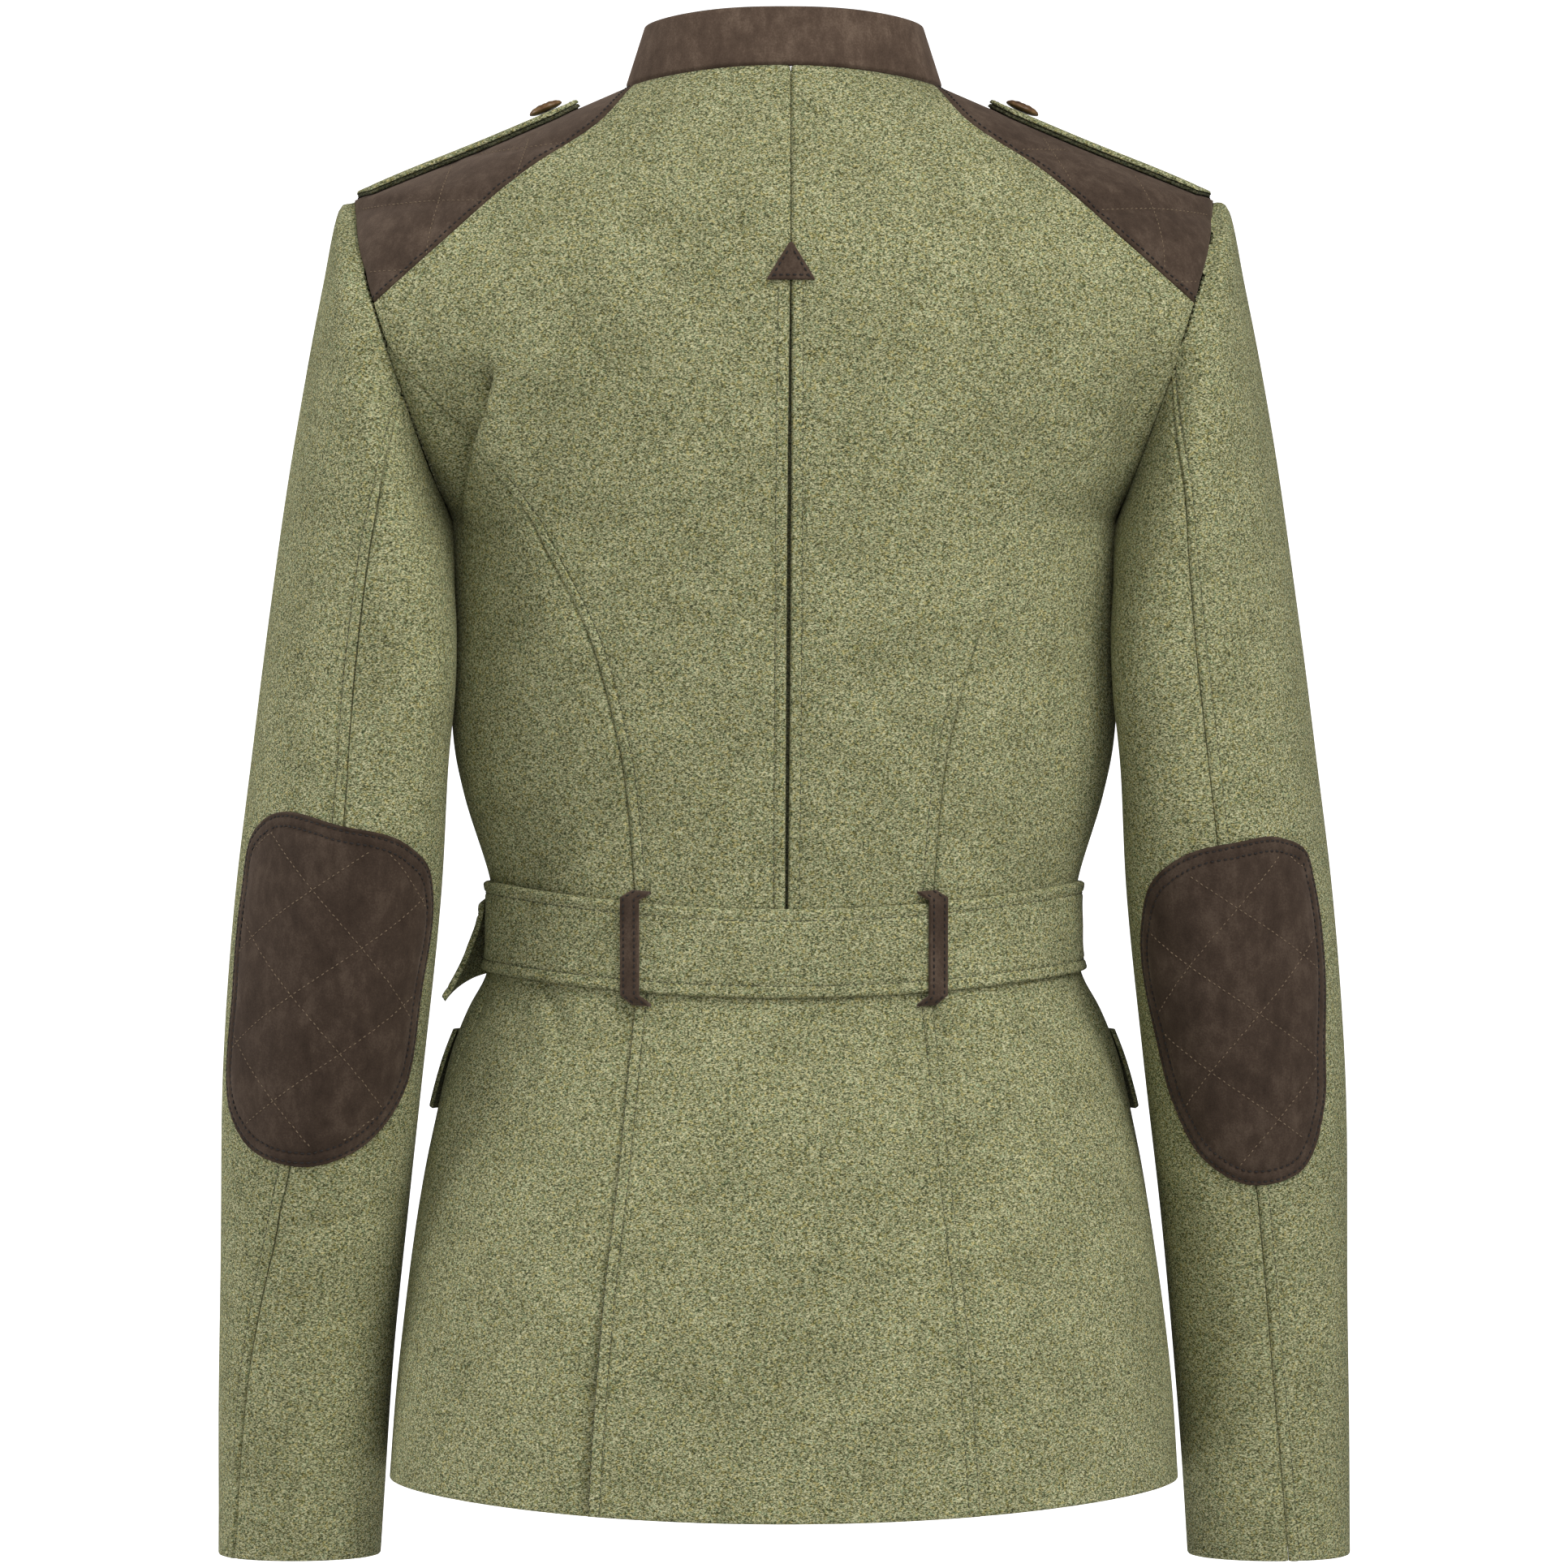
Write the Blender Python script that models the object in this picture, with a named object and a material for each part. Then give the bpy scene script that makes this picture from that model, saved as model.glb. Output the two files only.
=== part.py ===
"""Woman's loden hunting jacket with suede trim, filled out as worn and open inside."""
import math

import bmesh
import bpy
import numpy as np
from mathutils import Vector

NAME = "hunting_jacket"
MM = 0.001

# Walls and clearances, in millimetres
CLOTH = 2.0
SUEDE = 1.5
COLLAR_WALL = 3.0
BELT_WALL = 2.8
EPAULETTE_WALL = 3.6
FLAP_WALL = 2.0
SEAM = 0.3
REST = 0.5
LAP = CLOTH + REST

# Body levels from hem to neck: centre back, centre front, back edge and front edge,
# then the power of each quarter section and how far it turns (degrees) at its edge.
LEVEL_COLUMNS = ("name", "cb_y", "cb_z", "cf_y", "cf_z", "bx", "by", "bz", "fx", "fy", "fz",
                 "b_pow", "f_pow", "b_turn", "f_turn")
LEVELS = (
    ("hem", 133, -599, -124, -597, 174.5, 6, -590, 174.5, 6, -590, 0.95, 0.95, 90, 90),
    ("skirt_low", 128, -548, -121, -546, 171.0, 6, -543, 171.0, 6, -543, 0.95, 0.95, 90, 90),
    ("skirt_mid", 120, -495, -117, -492, 164.3, 6, -488, 164.3, 6, -488, 0.97, 0.97, 90, 91),
    ("hip", 110, -454, -112, -450, 157.0, 6, -446, 157.0, 6, -446, 1.0, 1.0, 90, 96),
    ("hip_high", 97, -418, -106, -413, 145.5, 6, -408, 145.5, 6, -408, 1.0, 1.0, 90, 104),
    ("hip_top", 87, -392, -101, -388, 134.0, 5, -383, 134.0, 5, -383, 1.0, 1.0, 90, 108),
    ("belt_low", 82, -376, -98, -372, 130.0, 3, -366, 130.0, 3, -366, 1.0, 1.0, 90, 100),
    ("waist", 80, -356, -97, -352, 129.3, 2, -346, 129.3, 2, -346, 1.0, 1.0, 90, 90),
    ("belt_top", 81, -337, -98, -332, 130.3, 2, -325.5, 130.3, 2, -325.5, 1.0, 1.0, 90, 90),
    ("ribs", 88, -297, -110, -292, 141.6, 2, -288, 141.6, 2, -288, 1.0, 1.0, 90, 90),
    ("chest", 94, -263, -118, -259, 147.0, 1, -257, 147.0, 1, -257, 0.98, 1.0, 90, 90),
    ("bust", 101, -217, -123, -213, 147.3, 0, -211, 147.3, 0, -211, 0.96, 1.0, 90, 90),
    ("underarm", 105, -172, -124, -170, 147.3, 0, -166, 147.3, 0, -166, 0.93, 1.0, 90, 90),
    ("arm_low", 107, -134, -121, -142, 155.5, 38, -143, 155.0, -36, -140, 0.93, 1.0, 82, 82),
    ("arm_mid", 107, -95, -112, -112, 173.0, 63, -93, 163.0, -54, -100, 0.9, 0.95, 74, 74),
    ("arm_high", 103, -56, -102, -95, 186.5, 42, -50, 181.0, -36, -52, 1.0, 1.0, 80, 80),
    ("tip", 93, -22, -93, -80, 190.5, -3, -24, 190.5, -3, -24, 1.12, 1.12, 90, 90),
    ("shoulder", 75, 6, -83, -63, 131.0, 1, -0.8, 131.0, 1, -0.8, 1.1, 1.1, 90, 90),
    ("neck", 54, 31, -72, -45, 70.5, 5, 24.5, 70.5, 5, 24.5, 1.0, 1.0, 90, 90),
)
LEVEL = {row[0]: number for number, row in enumerate(LEVELS)}
TABLE = {key: np.array([row[k] for row in LEVELS]) for k, key in enumerate(LEVEL_COLUMNS) if k}
CORNERS = (LEVEL["underarm"], LEVEL["tip"])
EDGE_COLUMNS = ("bx", "by", "bz", "fx", "fy", "fz")
TOP = LEVEL["neck"]
FINE_LEVELS = 400
SLOPE_STEP = 0.004

# Folds of the body: face, place on the photo's plane, reach, lean (degrees) and push in y
FOLD_COLUMNS = ("face", "x", "z", "wide", "tall", "lean", "push")
FOLDS = (
    ("b", 127, -142, 12, 40, -18, 5.0),
    ("b", 147, -124, 10, 30, -20, -7.0),
    ("b", -148, -146, 9, 36, 15, -5.0),
    ("b", 103, -398, 8, 17, 0, 3.5),
    ("b", -100, -398, 9, 17, 0, 2.0),
)

EDGE_HOLD = 10

# Rows of the panels as level numbers, shared so that seams meet row by row
SKIRT_ROWS = (0, 0.8, 1.6, 2.4, 3.1, 3.8, 4.4, 5, 5.5, 6)
WAIST_GAP = 0.01
BODY_ROWS = (8, 8.5, 9, 10, 10.5, 11, 12, 12.5, 13, 13.5)
PLEAT_ROWS = (15, 16, 17, 17.98)
YOKE_STEPS = (0.4, 0.8, 1.2, 1.58, 2.08, 2.58, 3.08, 3.58)

# Grid of each wall: across and along
GRID = {"back": (8, 20), "back_side": (7, 11), "pleat": (6, 15), "skirt_back": (14, 10),
        "skirt_side": (10, 10), "front_left": (10, 30), "front_right": (11, 30), "yoke": (8, 12),
        "collar": (36, 2), "sleeve_upper": (17, 15), "sleeve_under": (13, 15), "patch": (12, 14),
        "belt": (72, 2), "loop": (2, 10), "epaulette": (6, 9), "flap": (10, 5), "tab": (4, 5)}

# Seams as level number and distance from the centre plane
YOKE_CORNER = LEVEL["arm_mid"] + 0.42
PRINCESS_TOP = LEVEL["arm_mid"] + 0.03
YOKE_ROWS = tuple(YOKE_CORNER + step for step in YOKE_STEPS)
PRINCESS_END = 0.995
PRINCESS = (("waist", 64.0), ("belt_top", 65.0), ("ribs", 68.0), ("chest", 73.0), ("bust", 86.5),
            ("underarm", 110.0), ("arm_low", 133.0))
SKIRT_SEAM = (("hem", 83.5), ("skirt_low", 80.5), ("skirt_mid", 76.5), ("hip", 72.0),
              ("hip_high", 68.5), ("hip_top", 66.0), ("belt_low", 64.5), ("waist", 64.0))

YOKE_FRONT = (("arm_high", 152.0), ("tip", 128.0), ("shoulder", 96.0), ("neck", 66.0))

# Back yoke seam as (x, z) on the photo's plane, from near the armhole to the neck
YOKE_BACK = ((154.0, -51.0), (110.8, -13.0), (83.4, 5.6), (67.0, 25.1))
SEAM_TRIES = 40
ARC_SHARE = 1.2
PLEAT_TOP_X = -3.0
PLEAT_WAIST_X = -0.8
PLEAT_GAP = 1.6
PLEAT_HALF = 22.0
LAP_UNDER = 20.0
LAP_BLEND = 8.0
LAP_COLUMNS = ((0, 0.2), (0.2, 0.3), (0.3, 1))
FRONT_LAP = 20.0
FRONT_BLEND = 34.0

# Sleeve rings from armhole to cuff: outer and inner points, depth, forward lead of the sides
RING_COLUMNS = ("ox", "oy", "oz", "ix", "iy", "iz", "depth", "lead")
RINGS = (
    (190.5, -3, -24, 147.3, 0, -166, 60, 2),
    (197.8, -2, -28.5, 148.8, 8, -171, 62, 7),
    (204.0, 0, -60, 146.8, 20, -181, 62, 8),
    (211.3, 0, -98, 144.8, 30, -195, 60, 5),
    (219.5, 0, -148, 143.6, 36, -217, 57, 2),
    (228.0, 0, -207, 144.3, 38, -243, 54, 0),
    (235.0, 1, -264, 147.6, 34, -276, 52, 0),
    (243.0, 3, -331, 151.0, 24, -331, 51, 0),
    (248.4, 2, -403, 158.6, 13, -403, 49, 0),
    (250.2, -6, -475, 167.2, -2, -475, 46, 0),
    (251.6, -17, -547, 174.6, -17, -547, 43, 0),
    (253.2, -32, -627.5, 180.6, -32, -627.5, 40, 0),
)
RING = {key: np.array([row[k] for row in RINGS], float) for k, key in enumerate(RING_COLUMNS)}
CUFF = len(RINGS) - 1
ARMHOLE_FADE = 3.0
BACK_SEAM = {"left": (114, 112, 106, 99, 95, 92, 92, 93, 87, 71, 51, 39),
             "right": (114, 112, 108, 105, 103, 100, 98, 97, 94, 90, 86, 79)}
FRONT_SEAM = 255.0
SLEEVE_RADIUS = 45.0
RING_TRIES = 5
SLEEVE_ROWS = (0, 0.5, 1, 1.7, 2.5, 3.3, 4.1, 5, 6, 6.7, 7.4, 8.1, 8.8, 9.5, 10.2, 11)
RING_PITCH = 70.0

# Elbow patches: the four edges as (x, z) from outer to inner, or from top to bottom
PATCH = {
    "left": {"top": ((224.9, -297.2), (191.3, -301.4), (163.3, -310.3)),
             "bottom": ((240.9, -432.5), (234.8, -441.7), (211.0, -450.5), (188.8, -444.2),
                        (169.0, -420.8)),
             "outer": ((224.9, -297.2), (231.3, -303.2), (237.7, -331.5), (241.6, -372.6),
                       (240.9, -432.5)),
             "inner": ((163.3, -310.3), (156.2, -319.5), (154.8, -331.5), (159.7, -372.6),
                       (169.0, -420.8))},
    "right": {"top": ((227.4, -311.7), (214.0, -306.0), (198.0, -308.1), (171.1, -315.9)),
              "bottom": ((235.9, -427.2), (225.6, -453.0), (203.0, -458.3), (184.5, -447.3),
                         (173.2, -427.2)),
              "outer": ((227.4, -311.7), (231.6, -325.5), (236.3, -358.4), (236.6, -396.7),
                        (235.9, -427.2)),
              "inner": ((171.1, -315.9), (161.2, -325.5), (157.3, -345.7), (164.7, -396.7),
                        (173.2, -427.2))},
}
QUILT_SIDE = 36.0
QUILT_PUFF = 0.7
QUILT_LEAN = 43.0

# Quilting of the yokes: a crossing of its lines, their spacing and their lean
YOKE_QUILT = {"x": 114.0, "z": -4.5, "wide": 37.0, "tall": 27.0, "lean": 0.3, "puff": 0.6}
YOKE_PLAIN = 24.0
YOKE_FADE = 6.0

# Collar top ring: centre back, side and centre front, and the gap at the front
COLLAR_TOP = {"cb_y": 47.0, "cb_z": 58.0, "side_x": 61.5, "side_y": 2.0, "side_z": 53.0,
              "cf_y": -66.0, "cf_z": -15.0}
COLLAR_OPEN = 0.015
COLLAR_FOOT = 0.02
COLLAR_POWER = 0.85
NECK_ROUND = 1.2

# Belt: its tail runs over the left front and flares away from the left side
TAIL_SPLAY = 15.0
TAIL_DROOP = 9.0
TAIL_REACH = 0.55
BELT_EASE = 110.0
BELT_EASE_POWER = 0.3
BELT_CLIMB = (0.78, 0.92)
TAIL_END = 0.93
LOOP_X = 65.5
LOOP_WIDE = 8.0
LOOP_RETURN = 4.0
LOOP_STATIONS = (0, 0.1, 0.5, 0.9, 1)
LOOP_LEVELS = (5.62, 5.84, 7, 8.08, 8.17)
LOOP_BOW = (0, 1, 1, 1, 0)

# Epaulettes, flaps, tab and buttons
EPAULETTE_HALF = 21.0
EPAULETTE_TIP = 9.0
EPAULETTE_NARROW = 0.8
EPAULETTE_SPAN = (LEVEL["tip"] + 0.03, LEVEL["shoulder"] + 0.66)
EPAULETTE_BUTTON = LEVEL["shoulder"] + 0.46
FLAP_SPAN = (0.40, 0.86)
FLAP_LEVELS = (LEVEL["hip_high"] - 0.55, LEVEL["hip_high"] + 0.55)
FLAP_STAND = 2.4
FLAP_CURL = 1.5
TAB_WIDE = 21.0
TAB_POINT = 1.6
TAB_TOP_Z = -50.0
TAB_BASE_Z = -66.0
BUTTON_EDGES = 20
BUTTON_TAPER = 0.86
SMALL_BUTTON = (7.7, 4.0)
FRONT_BUTTON = (10.0, 4.5)
BELT_BUTTON_AT = 0.05
FRONT_BUTTON_Z = (-85, -140, -195, -250, -305)

# Colours: red, green, blue, roughness
FINISH = {
    "loden": (0.205, 0.200, 0.110, 0.95),
    "loden_shade": (0.170, 0.168, 0.092, 0.95),
    "suede": (0.071, 0.049, 0.036, 0.92),
    "button_leather": (0.150, 0.080, 0.035, 0.45),
}


def clear_scene():
    """Remove whatever the scene holds."""
    for thing in list(bpy.data.objects):
        bpy.data.objects.remove(thing, do_unlink=True)


def smooth_column(values, level, corners=()):
    """A column of a table at fractional rows, smooth except at the corner rows."""
    step = np.diff(values)
    leave = np.gradient(values)
    arrive = leave.copy()
    for row in corners:
        leave[row] = step[row]
        arrive[row] = step[row - 1]
    row = np.clip(np.floor(level).astype(int), 0, len(values) - 2)
    t = level - row
    start = values[row]
    end = values[row + 1]
    bend = t * (1 - t) * ((1 - t) * leave[row] - t * arrive[row + 1])
    return start + (end - start) * t * t * (3 - 2 * t) + bend


def column(key, level):
    """A body column at fractional levels."""
    corners = CORNERS if key in EDGE_COLUMNS else ()
    return smooth_column(TABLE[key].astype(float), level, corners)


def edge_point(face, level):
    """Edge of a quarter section: side seam, then armhole, then shoulder ridge."""
    return np.stack([column(face + axis, level) for axis in "xyz"], axis=-1)


def fold_push(face, x, z):
    """Outward push of the folds at a place on the body."""
    push = np.zeros_like(x)
    for fold in (dict(zip(FOLD_COLUMNS, row)) for row in FOLDS if row[0] == face):
        lean = math.radians(fold["lean"])
        across = (x - fold["x"]) * math.cos(lean) + (z - fold["z"]) * math.sin(lean)
        along = (z - fold["z"]) * math.cos(lean) - (x - fold["x"]) * math.sin(lean)
        push += fold["push"] * np.exp(-(across / fold["wide"]) ** 2 - (along / fold["tall"]) ** 2)
    return push


def centre_keys(face):
    """Names of the centre columns of a face."""
    return ("cb_y", "cb_z") if face == "b" else ("cf_y", "cf_z")


def torso(face, sigma, level):
    """Outer point of the body, sigma 0 at the centre and 1 at the edge, negative on the right."""
    turn = np.radians(column(face + "_turn", level))
    power = column(face + "_pow", level)
    edge = edge_point(face, level)
    key_y, key_z = centre_keys(face)
    angle = np.abs(sigma) * turn
    across = (np.sin(angle) / np.sin(turn)) ** power
    fall = np.clip((np.cos(angle) - np.cos(turn)) / (1 - np.cos(turn)), 0, 1) ** power
    x = np.sign(sigma) * edge[..., 0] * across
    y = edge[..., 1] + (column(key_y, level) - edge[..., 1]) * fall
    centre_z = column(key_z, level)
    z = centre_z + (edge[..., 2] - centre_z) * np.minimum(across, 1) ** 2
    push = fold_push(face, x, z) * (1 - np.minimum(across, 1) ** EDGE_HOLD)
    return np.stack([x, y + push if face == "b" else y - push, z], axis=-1)


def sigma_at(face, x, level):
    """Sigma where a section reaches a distance from the centre plane."""
    turn = np.radians(column(face + "_turn", level))
    part = np.abs(x) / column(face + "x", level)
    part = np.clip(part, 0, 1) ** (1 / column(face + "_pow", level))
    return np.sign(x) * np.arcsin(np.clip(part * np.sin(turn), -1, 1)) / turn


def unit(vector):
    """Vectors made one long."""
    return vector / np.maximum(np.linalg.norm(vector, axis=-1, keepdims=True), 1e-9)


def torso_normal(face, sigma, level, step=SLOPE_STEP):
    """Outward direction of the body surface."""
    across = torso(face, np.minimum(sigma + step, 1), level)
    across = across - torso(face, np.maximum(sigma - step, -1), level)
    upward = torso(face, sigma, np.minimum(level + step, TOP))
    upward = upward - torso(face, sigma, np.maximum(level - step, 0))
    out = -1 if face == "b" else 1
    return out * unit(np.cross(across, upward))


def body_at(face, sigma, level):
    """Body points with their outward directions."""
    return torso(face, sigma, level), torso_normal(face, sigma, level)


def smooth_between(places, values, at):
    """Smooth curve through values at uneven places."""
    slope = np.gradient(values, places)
    k = np.clip(np.searchsorted(places, at, side="right") - 1, 0, len(places) - 2)
    span = places[k + 1] - places[k]
    t = (at - places[k]) / span
    bend = t * (1 - t) * span * ((1 - t) * slope[k] - t * slope[k + 1])
    return values[k] + (values[k + 1] - values[k]) * t * t * (3 - 2 * t) + bend


def seam_sigma(face, rows, level, ends=()):
    """Sigma of a seam given by distances at named levels, with extra (level, sigma) ends."""
    known = [(float(LEVEL[name]), x) for name, x in rows]
    knots = [(lv, float(sigma_at(face, np.array(x), np.array(lv)))) for lv, x in known]
    levels, sigmas = np.array(sorted(knots + list(ends))).T
    return smooth_between(levels, sigmas, np.clip(level, levels[0], levels[-1]))


def princess(level):
    """Sigma of the back princess seam, which ends on the armhole."""
    return seam_sigma("b", PRINCESS, level, ((PRINCESS_TOP, PRINCESS_END),))


def yoke_seam(face, level):
    """Sigma of the yoke seam, which starts on the armhole."""
    if face == "f":
        return seam_sigma(face, YOKE_FRONT, level, ((YOKE_CORNER, 1.0),))
    return back_yoke_seam(level)


def back_yoke_seam(level):
    """Sigma where each section of the back crosses the line of the yoke seam."""
    corner = edge_point("b", np.array(YOKE_CORNER))
    x, z = np.array(((corner[0], corner[2]),) + YOKE_BACK).T
    low = np.zeros_like(level)
    high = np.ones_like(level)
    for _ in range(SEAM_TRIES):
        middle = (low + high) / 2
        point = torso("b", middle, level)
        inside = point[..., 0] < smooth_between(z, x, np.clip(point[..., 2], z[0], z[-1]))
        low = np.where(inside, middle, low)
        high = np.where(inside, high, middle)
    return high


def section_width(face, level):
    """Length of sigma 0 to 1, taken as the half width of the section."""
    return column(face + "x", level) * ARC_SHARE


def finish(name):
    """Principled material of a cloth, suede or button."""
    material = bpy.data.materials.get(name) or bpy.data.materials.new(name)
    material.use_nodes = True
    shader = material.node_tree.nodes["Principled BSDF"]
    red, green, blue, rough = FINISH[name]
    shader.inputs["Base Color"].default_value = (red, green, blue, 1.0)
    shader.inputs["Roughness"].default_value = rough
    shader.inputs["Metallic"].default_value = 0.0
    return material


def add_object(name, mesh, material, collection):
    """One named sub-part with its material."""
    mesh.materials.append(finish(material))
    thing = bpy.data.objects.new(name, mesh)
    collection.objects.link(thing)
    return thing


def wall(collection, name, material, shape, place, low, high):
    """Closed wall over a grid: place(u, v) gives points and outward directions."""
    mesh = bmesh.new()
    bmesh.ops.create_grid(mesh, x_segments=shape[0], y_segments=shape[1], size=1.0)
    under = list(mesh.verts)
    made = bmesh.ops.extrude_face_region(mesh, geom=list(mesh.faces), use_keep_orig=True)
    over = [item for item in made["geom"] if isinstance(item, bmesh.types.BMVert)]
    for verts, lift in ((under, low), (over, high)):
        grid = np.array([(vert.co.x, vert.co.y) for vert in verts]) / 2 + 0.5
        points, outward = place(grid[:, 0], grid[:, 1])
        rise = lift(grid[:, 0], grid[:, 1]) if callable(lift) else lift
        points = points + outward * np.reshape(rise, (-1, 1))
        for vert, point in zip(verts, points):
            vert.co = Vector(point * MM)
    bmesh.ops.recalc_face_normals(mesh, faces=list(mesh.faces))
    if mesh.calc_volume(signed=True) < 0:
        bmesh.ops.reverse_faces(mesh, faces=list(mesh.faces))
    bmesh.ops.triangulate(mesh, faces=list(mesh.faces))
    data = bpy.data.meshes.new(name)
    mesh.to_mesh(data)
    mesh.free()
    return add_object(name, data, material, collection)


def spread(knots):
    """Grid rows spread over a list of stations, even between neighbours."""
    places = np.linspace(0, 1, len(knots))
    return lambda v: np.interp(v, places, knots)


def between(face, left, right, rows, push=None):
    """Panel between two seams, each a function of the level."""
    def place(u, v):
        level = rows(v)
        sigma = left(level) + (right(level) - left(level)) * u
        points, outward = body_at(face, sigma, level)
        if push is not None:
            points = points + outward * push(points[:, 0], level).reshape(-1, 1)
        return points, outward
    return place


def gap_sigma(face, level):
    """Half a seam gap as a part of sigma."""
    return SEAM / 2 / section_width(face, level)


def pleat_x(level):
    """Line of the centre pleat."""
    part = (level - LEVEL["waist"]) / (LEVEL["arm_high"] - LEVEL["waist"])
    return PLEAT_WAIST_X + (PLEAT_TOP_X - PLEAT_WAIST_X) * np.clip(part, 0, 1)


def pleat_edge(side):
    """Centre edge of a back panel, sewn above the tab and open below it."""
    def edge(level):
        part = (level - LEVEL["waist"]) / (level_at(TAB_BASE_Z) - LEVEL["waist"])
        wide = SEAM + (PLEAT_GAP - SEAM) * np.sqrt(np.sin(np.pi * np.clip(part, 0, 1)))
        return side * sigma_at("b", side * pleat_x(level) + wide / 2, level)
    return edge


def level_at(z, key="cb_z"):
    """Level number where the centre back, or the centre front, has a height."""
    levels = np.linspace(0, TOP, FINE_LEVELS)
    return float(np.interp(z, column(key, levels), levels))


def back_edge(level):
    """Outer edge of the back panel: princess seam, armhole, then yoke seam."""
    low = np.minimum(princess(level), 1)
    high = yoke_seam("b", level)
    sigma = np.where(level <= PRINCESS_TOP + SLOPE_STEP, low, np.where(level > YOKE_CORNER, high, 1.0))
    return sigma - gap_sigma("b", level)


def make_backs(collection):
    """Back panels, their side panels and the underlay of the pleat."""
    start = (LEVEL["waist"] + WAIST_GAP,) + BODY_ROWS + (PRINCESS_TOP,)
    rows = spread(start + (YOKE_CORNER,) + YOKE_ROWS)
    side_rows = spread(start)
    for side, word in ((1, "left"), (-1, "right")):
        centre = pleat_edge(side)
        panel = between("b", centre, lambda lv, s=side: s * back_edge(lv), rows)
        wall(collection, "back_" + word, "loden", GRID["back"], panel, -CLOTH, 0.0)
        inner = (lambda lv, s=side: s * (princess(lv) + gap_sigma("b", lv)))
        outer = (lambda lv, s=side: s * (1 - gap_sigma("b", lv)))
        panel = between("b", inner, outer, side_rows)
        wall(collection, "back_side_" + word, "loden", GRID["back_side"], panel, -CLOTH, 0.0)
    make_pleat(collection)


def make_pleat(collection):
    """Underlay behind the open edges of the pleat."""
    rows = spread((LEVEL["waist"] + WAIST_GAP,) + BODY_ROWS + (LEVEL["arm_mid"],) + PLEAT_ROWS)
    low = (lambda lv: sigma_at("b", pleat_x(lv) - PLEAT_HALF, lv))
    high = (lambda lv: sigma_at("b", pleat_x(lv) + PLEAT_HALF, lv))
    panel = between("b", low, high, rows)
    wall(collection, "back_pleat", "loden_shade", GRID["pleat"], panel, -CLOTH - LAP, -LAP)


def skirt_seam(level):
    """Sigma of the edge of the skirt's centre panel."""
    return seam_sigma("b", SKIRT_SEAM, level)


def skirt_side(side, rows):
    """Side panel of the skirt, drawn in where it passes under the centre panel."""
    def place(u, v):
        level = rows(v)
        seam = skirt_seam(level)
        wide = section_width("b", level)
        stops = (seam - LAP_UNDER / wide, seam, seam + LAP_BLEND / wide, 1 - gap_sigma("b", level))
        part = [np.clip((u - low) / (high - low), 0, 1) for low, high in LAP_COLUMNS]
        sigma = stops[0] + sum((stops[k + 1] - stops[k]) * part[k] for k in range(3))
        points, outward = body_at("b", side * sigma, level)
        return points - outward * (LAP * (1 - part[1])).reshape(-1, 1), outward
    return place


def make_skirt(collection):
    """Skirt panels below the belt."""
    rows = spread(SKIRT_ROWS + (LEVEL["waist"] - WAIST_GAP,))
    panel = between("b", lambda lv: -skirt_seam(lv), skirt_seam, rows)
    wall(collection, "skirt_back", "loden", GRID["skirt_back"], panel, -CLOTH, 0.0)
    for side, word in ((1, "left"), (-1, "right")):
        panel = skirt_side(side, rows)
        wall(collection, "skirt_side_" + word, "loden", GRID["skirt_side"], panel, -CLOTH, 0.0)


def front_edge(level):
    """Outer edge of a front: side seam, armhole, then yoke seam."""
    sigma = np.where(level > YOKE_CORNER, yoke_seam("f", level), 1.0)
    return sigma - gap_sigma("f", level)


def front_push(x, level):
    """Right front lifted over the left where they lap."""
    part = np.clip((-x - 2 * FRONT_LAP) / FRONT_BLEND, 0, 1)
    return LAP * (1 - part * part * (3 - 2 * part))


def make_fronts(collection):
    """Fronts from hem to yoke, the right one over the left."""
    rows = spread(SKIRT_ROWS + (LEVEL["waist"],) + BODY_ROWS + (LEVEL["arm_mid"], YOKE_CORNER) + YOKE_ROWS)
    lap = (lambda lv: sigma_at("f", np.full_like(lv, FRONT_LAP), lv))
    panel = between("f", lambda lv: -lap(lv), front_edge, rows)
    wall(collection, "front_left", "loden", GRID["front_left"], panel, -CLOTH, 0.0)
    panel = between("f", lap, lambda lv: -front_edge(lv), rows, front_push)
    wall(collection, "front_right", "loden", GRID["front_right"], panel, -CLOTH, 0.0)


def yoke_place(side):
    """Yoke from neck (u 0) to armhole (u 1), back seam (v 0) over the ridge to the front seam."""
    def place(u, v):
        ridge = TOP + (LEVEL["tip"] - TOP) * u
        seam = spread(((YOKE_CORNER,) + YOKE_ROWS)[::-1])(u)
        part = np.abs(2 * v - 1)
        level = ridge + (seam - ridge) * part
        points = np.zeros((len(u), 3))
        outward = np.zeros((len(u), 3))
        for face, mask in (("b", v <= 0.5), ("f", v > 0.5)):
            edge = yoke_seam(face, seam[mask]) + gap_sigma(face, seam[mask]) * 2
            sigma = side * np.minimum(1 + (edge - 1) * part[mask], 1)
            points[mask], outward[mask] = body_at(face, sigma, level[mask])
        return points, outward
    return place


def yoke_puff(place):
    """Low puff of the quilting on a yoke, plain under the epaulette and along the seams."""
    def puff(u, v):
        points, _ = place(u, v)
        x = np.abs(points[:, 0])
        z = points[:, 2]
        down = (z - YOKE_QUILT["z"]) / YOKE_QUILT["tall"]
        out = (x - YOKE_QUILT["x"] + YOKE_QUILT["lean"] * (z - YOKE_QUILT["z"])) / YOKE_QUILT["wide"]
        clear = np.clip((np.abs(points[:, 1]) - YOKE_PLAIN) / YOKE_FADE, 0, 1)
        inside = np.minimum(1, 10 * np.minimum(np.minimum(u, 1 - u), np.minimum(v, 1 - v)))
        return YOKE_QUILT["puff"] * clear * inside * np.abs(np.sin(math.pi * down) * np.sin(math.pi * out))
    return puff


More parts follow.
